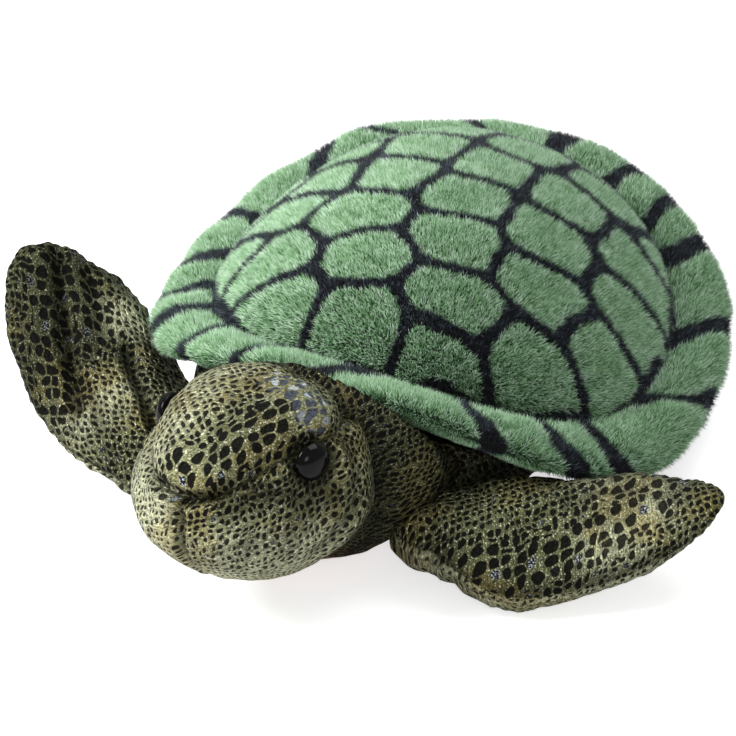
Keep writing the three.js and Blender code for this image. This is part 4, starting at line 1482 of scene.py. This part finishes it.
@dataclass
class Head:
    """The three-panel head with its seams, mouth fold and safety eyes, in millimetres of its own frame."""

    finishes: Finishes
    shell: ShellForm
    form: HeadForm = field(default_factory=HeadForm)
    eye_radius: float = 6.2
    eye_rise: float = 3.6
    right_eye_sunk: float = 1.1
    middle: float = 3.0
    chin_top: float = 11.0
    deepest: float = -3.6
    fullest: float = 1.4
    nose: tuple = (-38.0, 17.0)
    mouth: tuple = ((-7, -37.5, 11.5), (-1, -39, 11.4), (5, -38.8, 11.2), (9, -37.6, 11.8), (13, -35.5, 13))
    cheek_fold: tuple = ((29, 6, 18), (33.5, 3, 11), (35, 0, 3), (34.5, -6, -4), (31, -14, -9))
    large_rows: tuple = (
        (0, -36, 16), (7, -33, 18.5), (10, -28, 22), (14, -20, 25), (15, -12, 27), (15, -3, 28),
    )
    # The scales near this row get painted reflections.
    glinting_scales: tuple = ((4, 5.4, 30), (10, 4.4, 29), (17.5, 2.5, 27), (20, -1, 25.5))
    hollow: tuple = ((15, -34, 12), (21, -28, 13), (26, -23, 12), (31, -17, 9), (33, -9, 8))

    def fold(self, side: Side) -> list:
        """The cheek's fold on one side."""
        return [(side.value * x, y, z) for x, y, z in self.cheek_fold]

    def swell(self, points: np.ndarray, above: np.ndarray, seam: np.ndarray, front: np.ndarray) -> np.ndarray:
        """How far the panels, seams, folds and eyes swell or sink the cloth.

        Args:
            points: The plain form's points.
            above: How far above the gusset's seam each of them lies.
            seam: How far from that seam it lies.
            front: 1 at the muzzle and 0 behind the middle.

        Returns:
            One height for each point.
        """
        off_middle = np.abs(points[:, 0] - self.middle)
        side_on = ease(1.5, 6, off_middle)
        total = groove(seam, 1.4, 1.0) * side_on
        ridge = hill(above - 3.6, 3.2) * ease(24, 4, points[:, 1])
        hollow = hill(above + 5.5, 4.5) * ease(6, -10, points[:, 1])
        total += (1.0 * ridge - 1.7 * hollow) * side_on
        total += np.where(points[:, 2] < self.chin_top, groove(off_middle, 1.5, 1.6), 0) * front
        total += groove(line_distance(points, self.mouth), 1.6, 3.0)
        nose = np.linalg.norm(points - np.array([self.middle, *self.nose]), axis=1)
        total += 1.2 * hill(nose, 7)
        for side in Side:
            seat, _ = self.form.eye_seat(side)
            apart = np.linalg.norm(points - seat, axis=1)
            rise = (points[:, 2] - seat[2]) / np.maximum(apart, 1)
            total += -0.9 * hill(apart, 7) - 0.5 * ease(0.3, -0.9, rise) * hill(apart - 6.5, 3.2)
            total += 1.2 * ease(0.1, 0.9, rise) * hill(apart - 8.5, 3)
            total += groove(line_distance(points, self.fold(side)), 2.6, 1.3)
            total = np.maximum(total, self.deepest + 2.4 * ease(13, 9, apart))
        total -= 2.5 * ease(-4, -20, points[:, 2])
        return total + (0.5 * waves(points, 26, 51) + 0.16 * waves(points, 8, 52, (1, 1, 1.6)))

    def skin(self) -> bpy.types.Object:
        """Builds the head's cloth.

        Returns:
            The piece, where the head stands.
        """
        piece, polar, turn = ball_piece("head_skin", 232, 172, self.finishes.head)
        points = self.form.point(polar, turn)
        normals = faced(piece, points)
        front = ease(10, -20, points[:, 1])
        above = (points[:, 2] - self.form.seam_height(points[:, 1])) * 0.8
        seam = np.where(ease(1.5, 6, np.abs(points[:, 0] - self.middle)) > 0, np.abs(above), FAR_OFF)
        swell = np.clip(self.swell(points, above, seam, front), self.deepest, self.fullest)
        points = points + normals * swell[:, None]
        points = points + Stuffing().moves(self.form.point, self.held, polar, turn)
        crown = np.column_stack([polar * np.cos(turn) * 33, polar * np.sin(turn) * 36, turn * 0 + 1])
        around = (np.degrees(turn) + 90 + 180) % 360 - 180
        cheek = np.column_stack([np.radians(around) * 35 + 300, -polar * 33, turn * 0 + 5])
        paint(piece, sheet=np.where((above > 0)[:, None], laid(crown, -74), laid(cheek, -25)))
        self.paint_cloth(piece, points, seam, front)
        placed = turned(points, HEAD_TURN) + HEAD_CENTRE
        for _ in range(2):
            placed = self.shell.tucked(placed, 2.2, (-3, 0, 6), (-6, 0, 10, 20))
        placed[:, 2] = np.maximum(placed[:, 2], 1.0)
        put(piece, placed)
        return piece

    def held(self, points: np.ndarray, polar: np.ndarray, _: np.ndarray) -> np.ndarray:
        """Tells which points the gusset's seam, the chin's seam, the eyes and the neck hold.

        Args:
            points: The plain form's points.
            polar: Their angles from the upper pole.

        Returns:
            Whether each point is held.
        """
        seam = np.abs(points[:, 2] - self.form.seam_height(points[:, 1])) < 1.4
        chin = (points[:, 2] < self.chin_top) & (points[:, 1] < 0)
        chin &= np.abs(points[:, 0] - self.middle) < 1.2
        eyes = np.zeros(len(points), bool)
        for side in Side:
            seat, _ = self.form.eye_seat(side)
            eyes |= np.linalg.norm(points - seat, axis=1) < 8.5
        return seam | chin | eyes | (points[:, 1] > 22) | (np.sin(polar) < 0.03)

    def paint_cloth(
        self, piece: bpy.types.Object, points: np.ndarray, seam: np.ndarray, front: np.ndarray,
    ) -> None:
        """Paints where the dots are large and the cloth pale, with painted light on the right side of the
        muzzle and head, painted reflections on scales of the crown, and painted shade in the seams, the
        mouth, the hollows, the folds, round the eyes and towards the back.

        Args:
            piece: The head's skin.
            points: Its points in the head's own frame.
            seam: How far they lie from the gusset's seam.
            front: 1 at the muzzle and 0 behind the middle.
        """
        x, y, z = points.T
        white = line_distance(points, self.glinting_scales)
        size = 0.95 * hill(line_distance(points, self.large_rows), 11) + 0.14 * waves(points, 22, 53)
        size = np.maximum(size, 0.75 * hill(white, 8))
        # Painted light: the muzzle's right half and the head's right side, which face the key lamp, are
        # painted paler; the chin is paler too.
        muzzle = ease(-12, -26, y) * ease(16, 6, z)
        pale = np.maximum(0.85 * muzzle * ease(3, -4, x), 0.7 * ease(9, -6, z) * front)
        pale = np.maximum(pale, 0.55 * ease(2, -10, x) * ease(0.6, 0.2, size))
        off_middle = np.abs(x - self.middle)
        # Painted shade: in the gusset's seam, along the chin's seam, in the mouth, in the cheek's hollow,
        # towards the back of the head, round each eye and along each cheek's fold.
        shades = [
            0.5 * hill(seam, 1.5) * (off_middle > 3),
            np.where(z < self.chin_top, 0.8 * hill(off_middle, 1.7), 0) * front,
            0.95 * hill(line_distance(points, self.mouth), 2.0),
            0.75 * hill(line_distance(points, self.hollow), 6.5),
            0.6 * ease(10, 24, y),
        ]
        for side in Side:
            seat, _ = self.form.eye_seat(side)
            shades.append(0.97 * ease(10.5, 6.8, np.linalg.norm(points - seat, axis=1)))
            shades.append(0.6 * hill(line_distance(points, self.fold(side)), 3))
        # Painted reflections: the gleam makes the scales near that row shine pale, and greyish further out.
        paint(
            piece, dot_size=np.clip(size, 0, 1), pale=np.clip(pale, 0, 1), foil=np.clip(0.3 + size, 0, 1),
            gleam=0.4 * ease(7.5, 5.5, white) + 0.5 * ease(3.6, 1.8, white),
            shade=np.clip(np.maximum.reduce(shades), 0, 1),
        )

    def eye(self, side: Side) -> bpy.types.Object:
        """Builds a safety eye: a glossy dome with a collar, on its shank.

        Args:
            side: Which eye.

        Returns:
            The piece, where the head stands.
        """
        radius = self.eye_radius
        rise = [(0, 1.0), (0.35, 0.95), (0.65, 0.78), (0.86, 0.5), (0.97, 0.22), (1.0, 0.0)]
        profile = [(r * radius, 0.6 + h * self.eye_rise) for r, h in rise]
        profile += [(radius + 0.25, 0.2), (radius - 0.1, -0.9), (1.8, -1.1), (1.8, -11.5), (0, -11.5)]
        bm = bmesh.new()
        verts = [bm.verts.new((r * MM, 0, h * MM)) for r, h in profile]
        edges = [bm.edges.new(pair) for pair in zip(verts[:-1], verts[1:])]
        bmesh.ops.spin(
            bm, geom=verts + edges, cent=(0, 0, 0), axis=(0, 0, 1), angle=2 * math.pi, steps=48,
            use_merge=True,
        )
        bmesh.ops.remove_doubles(bm, verts=bm.verts[:], dist=1e-6)
        seat, facing = self.form.eye_seat(side)
        seat = seat - facing * (self.right_eye_sunk if side is Side.RIGHT else 0.0)
        stand = Vector((0, 0, 1)).rotation_difference(Vector(facing)).to_matrix()
        bmesh.ops.rotate(bm, verts=bm.verts[:], cent=(0, 0, 0), matrix=stand)
        bmesh.ops.translate(bm, verts=bm.verts[:], vec=Vector(seat) * MM)
        name = "eye_left_dome" if side is Side.LEFT else "eye_right_dome"
        piece = piece_from(bm, name, self.finishes.eye)
        put(piece, turned(points_of(piece.data) / MM, HEAD_TURN) + HEAD_CENTRE)
        smooth = piece.modifiers.new("smooth", "SUBSURF")
        smooth.levels = smooth.render_levels = 1
        return piece

    def build(self) -> None:
        """Builds the head and its eyes, and hands them to the head's body."""
        skin = self.skin()
        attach(skin, "head")
        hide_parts("head_top_gusset", "head_side_left", "head_side_right", "head_filling")
        for side, node in ((Side.LEFT, "eye_left"), (Side.RIGHT, "eye_right")):
            eye = self.eye(side)
            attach(eye, "head")
            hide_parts(node)
        log.info("head built")


@dataclass
class Limb:
    """A stuffed flipper or tail, with its hinge at the root and an edge seam round it.

    Sizes are in millimetres and angles in degrees. The trims and the hump go from the share of the span
    to how far they move the leading edge, the trailing edge and the back. The rows and creases lie in plan,
    along the span and towards the leading edge, and a crease has its width and its depth too.
    """

    name: str
    finishes: Finishes
    shell: ShellForm
    side: Side
    hinge: tuple
    span: float
    half_chord: float
    half_thickness: float
    growth: float
    narrowing: float
    thinning: float
    tip_power: float
    sweep_back: float
    sag: float
    tip_lift: float
    sweep: float
    raise_angle: float = 0.0
    tilt: float = 0.0
    full_share: float = 0.33
    wrinkle: float = 1.0
    creases: tuple = ()
    seed: int = 70
    slant: float = -30.0
    seam_rise: float = 0.0
    # How much painted shade falls on the outer part.
    gloom: float = 0.0
    large_rows: tuple = ()
    pale_rows: tuple = ()
    lead_trim: tuple = ((0, 0), (1, 0))
    trail_trim: tuple = ((0, 0), (1, 0))
    hump: tuple = ((0, 0), (1, 0))
    tip_trim: float = 0.0

    def frame_ways(self) -> tuple:
        """Works out how the limb lies before the torso is turned.

        Returns:
            Its hinge, and its span, leading edge and upper side as directions.
        """
        s, t, r = (math.radians(v) for v in (self.sweep, self.tilt, self.raise_angle))
        side = self.side.value
        outward_way = np.array([side * math.cos(s), math.sin(s), 0.0])
        forward = np.array([side * math.sin(s), -math.cos(s), 0.0])
        raised = UP * math.cos(r) - outward_way * math.sin(r)
        return (
            np.array(self.hinge, float),
            outward_way * math.cos(r) + UP * math.sin(r),
            forward * math.cos(t) - raised * math.sin(t),
            raised * math.cos(t) + forward * math.sin(t),
        )

    def placed(self, local: np.ndarray) -> np.ndarray:
        """Puts local points where the limb lies.

        Args:
            local: Points along the span, towards the leading edge and up.

        Returns:
            The points in the turtle's frame.
        """
        hinge, span, leading, upper = self.frame_ways()
        out = np.maximum(local[:, 0] / self.span, 0)
        y = local[:, 1] - self.sweep_back * out**2
        z = local[:, 2] + (self.tip_lift * out**2 - self.sag * np.sin(math.pi * np.minimum(out, 1)))
        points = hinge + local[:, :1] * span + y[:, None] * leading + z[:, None] * upper
        return turned(points, TORSO_TURN)

    def straight_form(self, polar: np.ndarray, turn: np.ndarray) -> np.ndarray:
        """Places the straight limb's points, before its edges are trimmed.

        Args:
            polar: Each point's angle from the tip.
            turn: Its angle round the span, with 0 at the leading edge.

        Returns:
            The points.
        """
        root = self.half_thickness
        along = (1 + np.cos(polar)) / 2 * (self.span + root) - root
        out = np.maximum(along / self.span, 0)
        inner = np.sqrt(np.clip(1 - (along / root) ** 2, 0, 1))
        outer = np.sqrt(np.clip(1 - out**self.tip_power, 0, 1))
        end = np.where(along < 0, inner, outer)
        growth = 1 + self.growth * np.sin(math.pi / 2 * np.minimum(out / self.full_share, 1))
        chord = self.half_chord * growth * (1 - self.narrowing * out**2) * end
        thick = root * (1 - self.thinning * out) * end
        return np.column_stack([along, chord * np.cos(turn), thick * np.sin(turn)])

    def form(self, polar: np.ndarray, turn: np.ndarray) -> np.ndarray:
        """Places the straight limb's points, with its edges and its back as the picture shows them.

        Args:
            polar: Each point's angle from the tip.
            turn: Its angle round the span, with 0 at the leading edge.

        Returns:
            The points.
        """
        local = self.straight_form(polar, turn)
        reach = local[:, 0] / self.span
        lead = np.interp(reach, *zip(*self.lead_trim)) * np.maximum(np.cos(turn), 0)
        trail = np.interp(reach, *zip(*self.trail_trim)) * np.minimum(np.cos(turn), 0)
        local[:, 1] += lead + trail
        hump = ease(0.8, -0.5, np.cos(turn)) * np.maximum(np.sin(turn), 0)
        local[:, 2] += np.interp(reach, *zip(*self.hump)) * hump
        local[:, 0] *= 1 + self.tip_trim * ease(0.6, 1, reach)
        return local

    def seam_level(self, reach: np.ndarray, turn: np.ndarray) -> np.ndarray:
        """How high up the edge the seam runs, as the sine of its angle round the span."""
        return np.where(np.cos(turn) > 0, self.seam_rise * ease(1.0, 0.75, reach), 0.0)

    def held(self, points: np.ndarray, polar: np.ndarray, turn: np.ndarray) -> np.ndarray:
        """Tells which points the edge seam and the root hold.

        Args:
            points: The straight limb's points.
            polar: Their angles from the tip.
            turn: Their angles round the span.

        Returns:
            Whether each point is held.
        """
        reach = points[:, 0] / self.span
        seam = (np.abs(np.sin(turn) - self.seam_level(reach, turn)) < 0.06) & (np.abs(np.cos(turn)) > 0.5)
        return seam | (reach < 0.04) | (np.sin(polar) < 0.05)

    def folds(self, local: np.ndarray, level: np.ndarray) -> tuple:
        """Sinks the creases of the upper cloth, and paints shade into them.

        Args:
            local: The straight limb's points.
            level: The sine of their angles round the span.

        Returns:
            How far the creases swell the cloth, and how much painted shade they get.
        """
        top = ease(-0.1, 0.15, level)
        sunk, dark = [], np.zeros(len(local))
        for line, width, depth in self.creases:
            apart = plan_distance(local, (line,))
            sunk.append(groove(apart, width, depth) * top)
            dark = np.maximum(dark, top * hill(apart, width) * min(depth / 2.4, 1))
        return sunk, dark

    def build(self) -> None:
        """Builds the limb's skin, with its root held while it is stuffed, and tucks it under the shell."""
        piece, polar, turn = ball_piece(f"{self.name}_skin", 128, 128, self.finishes.flipper)
        local = self.form(polar, turn)
        normals = faced(piece, local)
        out, level = np.clip(local[:, 0] / self.span, 0, 1), np.sin(turn)
        chord = np.abs(local[:, 1]) / np.maximum(np.abs(np.cos(turn)), 0.05)
        chord = np.maximum(np.hypot(local[:, 1], 1e-6), chord)
        seam_level = self.seam_level(out, turn)
        seam = np.abs(level - seam_level) * self.half_thickness * (1 - self.thinning * out)
        swell = groove(np.where(np.abs(np.cos(turn)) > 0.5, seam, FAR_OFF), 1.1, 0.7)
        swell += self.wrinkle * 0.9 * waves(local, 24, self.seed, (1.8, 1, 1))
        swell += self.wrinkle * 0.3 * waves(local, 9, self.seed + 1, (2.2, 1, 1))
        sunk, crease_shade = self.folds(local, level)
        for fold in sunk:
            swell += fold
        thin = np.minimum(1.0, self.half_thickness * (1 - self.thinning * out) / 7)
        local = local + normals * np.clip(swell * thin, -4.0, 0.9)[:, None]
        stuffing = Stuffing(96, 72) if self.span > 60 else Stuffing(56, 40)
        local = local + stuffing.moves(self.form, self.held, polar, turn) * thin[:, None]
        points = self.shell.tucked(self.placed(local), 1.0)
        points[:, 2] = np.maximum(points[:, 2], 0.3)
        if self.side is Side.LEFT:
            piece.data.flip_normals()
        put(piece, points)
        across = arc_share(turn, 0.42) * chord + np.where(turn < 0, 400, 0)
        sheet = np.column_stack([local[:, 0], across, turn * 0 + self.seed])
        paint(piece, sheet=laid(sheet, self.slant))
        below = ease(0.05, -0.1, level - seam_level)
        # Painted shade: a band just above the seam on the leading edge.
        edge = 0.6 * hill(level - seam_level - 0.12, 0.16) * (np.cos(turn) > 0) * ease(1, 0.9, out)
        self.paint_cloth(piece, local, out, below, np.maximum(0.9 * crease_shade, edge))
        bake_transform(piece)
        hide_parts(f"{self.name}_top_cloth", f"{self.name}_under_cloth", f"{self.name}_filling")
        log.info("%s built", self.name)

    def paint_cloth(
        self, piece: bpy.types.Object, local: np.ndarray, out: np.ndarray, below: np.ndarray,
        dark: np.ndarray,
    ) -> None:
        """Paints where the dots are large and the cloth pale, and paints shade on the outer part, the seam,
        the folds, the tip and the root.

        Args:
            piece: The limb's skin.
            local: Its points in the limb's own frame.
            out: How far out they lie, 0 to 1.
            below: 1 on the lower cloth and 0 on the upper.
            dark: How much painted shade the seam and the folds get.
        """
        large, pale = plan_distance(local, self.large_rows), plan_distance(local, self.pale_rows)
        size = 0.95 * hill(large, 9) + 0.12 * waves(local, 24, self.seed + 3)
        # Painted shade: over the outer part but not at the pale rows, at the seam and folds, at the tip and
        # at the root.
        gloom = self.gloom * ease(0.3, 0.6, out) * (1 - hill(pale, 9))
        shade = np.maximum.reduce([gloom, dark, 0.35 * ease(0.85, 0.98, out), 0.22 * ease(0.2, 0.0, out)])
        paint(
            piece, dot_size=np.clip(size, 0, 1) * (1 - below), gleam=0.0, shade=np.clip(shade, 0, 1),
            pale=np.clip(np.maximum(0.5 * hill(pale, 8), 0.65 * below), 0, 1),
            foil=np.clip(0.3 + 0.7 * hill(large, 14), 0, 1),
        )


@dataclass
class Studio:
    """The pale floor, the soft lamps and the camera.

    Each lamp has its name, its place in metres, its side, its power in watts and its tint.
    """

    azimuth: float = 20.1
    elevation: float = 28.0
    distance: float = 0.9
    focal_pixels: float = 2610.0
    sensor_width: float = 36.0
    middle_pixel: tuple = (448.6, 414.7)
    floor_half: float = 4.0
    floor_glow: float = 0.68
    room_light: float = 0.34
    aim_height: float = 0.04
    lamps: tuple = (
        ("key_lamp", (-0.85, -0.5, 0.85), 0.5, 14.5, (1.0, 0.99, 0.97)),
        ("top_lamp", (0.2, 0.3, 1.1), 0.8, 5.0, (0.97, 0.99, 1.0)),
        ("front_lamp", (0.45, -1.0, 0.55), 0.4, 1.6, (1.0, 1.0, 1.0)),
    )

    def hang(self, name: str, data: bpy.types.ID, place: Vector, turn: object) -> bpy.types.Object:
        """Puts a camera or a lamp in the scene.

        Args:
            name: Its name.
            data: Its data.
            place: Where it stands.
            turn: Its rotation, a quaternion.

        Returns:
            The new object.
        """
        thing = bpy.data.objects.new(name, data)
        thing.location = place
        thing.rotation_mode = "QUATERNION"
        thing.rotation_quaternion = turn
        bpy.context.scene.collection.objects.link(thing)
        return thing

    def camera(self) -> None:
        """Places the camera, aimed so that the turtle lies where it does in the picture."""
        a, e = math.radians(self.azimuth), math.radians(self.elevation)
        back = Vector((math.sin(a) * math.cos(e), -math.cos(a) * math.cos(e), math.sin(e)))
        right = Vector((math.cos(a), math.sin(a), 0))
        up = back.cross(right)
        half = PICTURE_SIDE / 2
        off_right, off_up = half - self.middle_pixel[0], self.middle_pixel[1] - half
        aim = -back * self.focal_pixels + right * off_right + up * off_up
        data = bpy.data.cameras.new("camera")
        data.sensor_width = self.sensor_width
        data.lens = self.focal_pixels * self.sensor_width / PICTURE_SIDE
        data.clip_start, data.clip_end = 0.01, 50
        turn = (-back).rotation_difference(aim) @ (-back).to_track_quat("-Z", "Y")
        bpy.context.scene.camera = self.hang("camera", data, back * self.distance, turn)

    def light(self) -> None:
        """Hangs the soft square lamps, which face the turtle."""
        for name, place, size, power, tint in self.lamps:
            data = bpy.data.lights.new(name, "AREA")
            data.shape = "SQUARE"
            data.size = size
            data.energy = power
            data.color = tint
            way = Vector((0, 0, self.aim_height)) - Vector(place)
            self.hang(name, data, Vector(place), way.to_track_quat("-Z", "Y"))

    def floor(self) -> None:
        """Lays the white floor, which keeps the turtle's shadow."""
        bm = bmesh.new()
        bmesh.ops.create_grid(bm, x_segments=4, y_segments=4, size=self.floor_half)
        bmesh.ops.translate(bm, verts=bm.verts[:], vec=(0, 0, -0.0003))
        material, book, shader = new_material("studio_floor")
        glow = book.times(book.add("ShaderNodeLightPath").outputs["Is Camera Ray"], self.floor_glow)
        book.fill(
            shader, Base_Color=(0.86, 0.86, 0.86, 1), Roughness=0.9, Specular_IOR_Level=0.1,
            Emission_Color=(1, 1, 1, 1), Emission_Strength=glow,
        )
        piece_from(bm, "studio_floor", material)

    def world(self) -> None:
        """Fills the room with even white light, and shows white behind the turtle."""
        world = bpy.data.worlds.new("studio")
        bpy.context.scene.world = world
        world.use_nodes = True
        book = NodeBook(world.node_tree)
        rays = book.add("ShaderNodeLightPath")
        direct = book.math("MAXIMUM", rays.outputs["Is Camera Ray"], rays.outputs["Is Transmission Ray"])
        strength = book.blend(direct, self.room_light, 1.0)
        book.fill(world.node_tree.nodes["Background"], Color=(1, 1, 1, 1), Strength=strength)

    def build(self) -> None:
        """Sets up the studio."""
        self.camera()
        self.floor()
        self.world()
        self.light()
        bpy.context.scene.view_settings.view_transform = "Standard"


def front_flipper(finishes: Finishes, shell: ShellForm, side: Side) -> Limb:
    """The front flipper of one side: the left one lies flat, the right one is raised.

    Args:
        finishes: The turtle's finishes.
        shell: The shell's shape.
        side: Which flipper.

    Returns:
        The flipper, not built yet.
    """
    hinge = (side.value * 47, -102, 15.9)
    sizes = {
        "span": 91, "half_chord": 20, "half_thickness": 10.8, "growth": 0.3, "narrowing": 0.2,
        "thinning": 0.42, "tip_power": 5, "sweep_back": 6, "sag": 6, "tip_lift": 12, "tilt": 16,
    }
    if side is Side.LEFT:
        return Limb(
            "front_left", finishes, shell, side, hinge, **sizes, sweep=30, seed=70, slant=85, seam_rise=0.34,
            # A little painted shade over the outer part.
            gloom=0.2, tip_trim=-0.015,
            lead_trim=(
                (-0.12, -12), (0, -11.5), (0.06, -8), (0.12, -4.5), (0.2, -1.4), (0.3, 0), (0.45, -0.8),
                (0.8, -1.8), (1, -1.6),
            ),
            hump=((0, 0), (0.12, 3), (0.3, 6.5), (0.45, 6.5), (0.6, 5.5), (0.75, 3), (0.9, 0)),
            creases=((((28, 2), (41, -4), (53, -6.5), (65, -7.5)), 2.2, 0.9),),
            large_rows=(((14, 16.5), (25, 18), (40, 13), (52, 8), (66, 0)), ((56, -8), (74, -8))),
            pale_rows=(((52, 14), (62, 9), (69, 3)), ((56, -8), (68, -4))),
        )
    return Limb(
        "front_right", finishes, shell, side, hinge, **sizes, sweep=18, raise_angle=27, seed=80, slant=20,
        # Much painted shade over the outer part of the raised flipper.
        gloom=0.6, wrinkle=1.3,
        lead_trim=((-0.12, -6), (0.1, -6), (0.25, -3), (0.4, -1.2), (0.6, -1), (1, -1)),
        trail_trim=((0, 0), (0.3, 1.5), (0.45, 4.2), (0.6, 6.2), (0.75, 5.8), (0.86, 2), (1, 0)),
        creases=(
            (((82, -8), (72, -3), (62, 1), (53, 5), (43, 8.5), (33, 13)), 2.4, 3.4),
            (((41, -11), (32, -8), (23, -6), (12, -2)), 2.3, 3.4),
            (((39, 5.5), (29, 9), (22, 11.5)), 1.8, 1.6),
            (((72, -14), (60, -12), (50, -8)), 2.6, 1.3),
        ),
        large_rows=(((80, -2), (66, 6), (52, 13), (40, 17)), ((74, -10), (62, -10), (50, -5))),
        # Painted light: the pale rows mark patches where light falls on the raised flipper.
        pale_rows=(((28, 16), (29, 10), (29, 0)), ((54, -18), (47, -21))),
    )


def rear_flipper(finishes: Finishes, shell: ShellForm, side: Side) -> Limb:
    """The small rear flipper of one side, not built yet."""
    name, seed = ("rear_left", 90) if side is Side.LEFT else ("rear_right", 100)
    return Limb(
        name, finishes, shell, side, (side.value * 31, 70, 14), span=48, half_chord=15, half_thickness=8.5,
        growth=0.3, narrowing=0, thinning=0.4, tip_power=4, sweep_back=2, sag=2, tip_lift=1, sweep=66,
        wrinkle=0.7, seed=seed,
    )


def tail(finishes: Finishes, shell: ShellForm) -> Limb:
    """The short tail, not built yet."""
    return Limb(
        "tail", finishes, shell, Side.LEFT, (0, 86, 15), span=26, half_chord=9, half_thickness=6, growth=0,
        narrowing=0.5, thinning=0.5, tip_power=2.5, sweep_back=0, sag=1, tip_lift=0, sweep=90, wrinkle=0.5,
        seed=110,
    )


def main() -> None:
    """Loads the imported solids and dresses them, piece by piece."""
    logging.basicConfig(level=logging.INFO, format="%(message)s")
    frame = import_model()
    Studio().build()
    finishes, shell = Finishes(), ShellForm()
    Shell(finishes, shell).build()
    Torso(finishes, shell).build()
    Neck(finishes, shell).build()
    Head(finishes, shell).build()
    for side in Side:
        front_flipper(finishes, shell, side).build()
        rear_flipper(finishes, shell, side).build()
    tail(finishes, shell).build()
    for name in ("eye_washer_left", "eye_washer_right"):
        for slot in frame["nodes"][name].material_slots:
            slot.material = finishes.washer


if __name__ == "__main__":
    main()
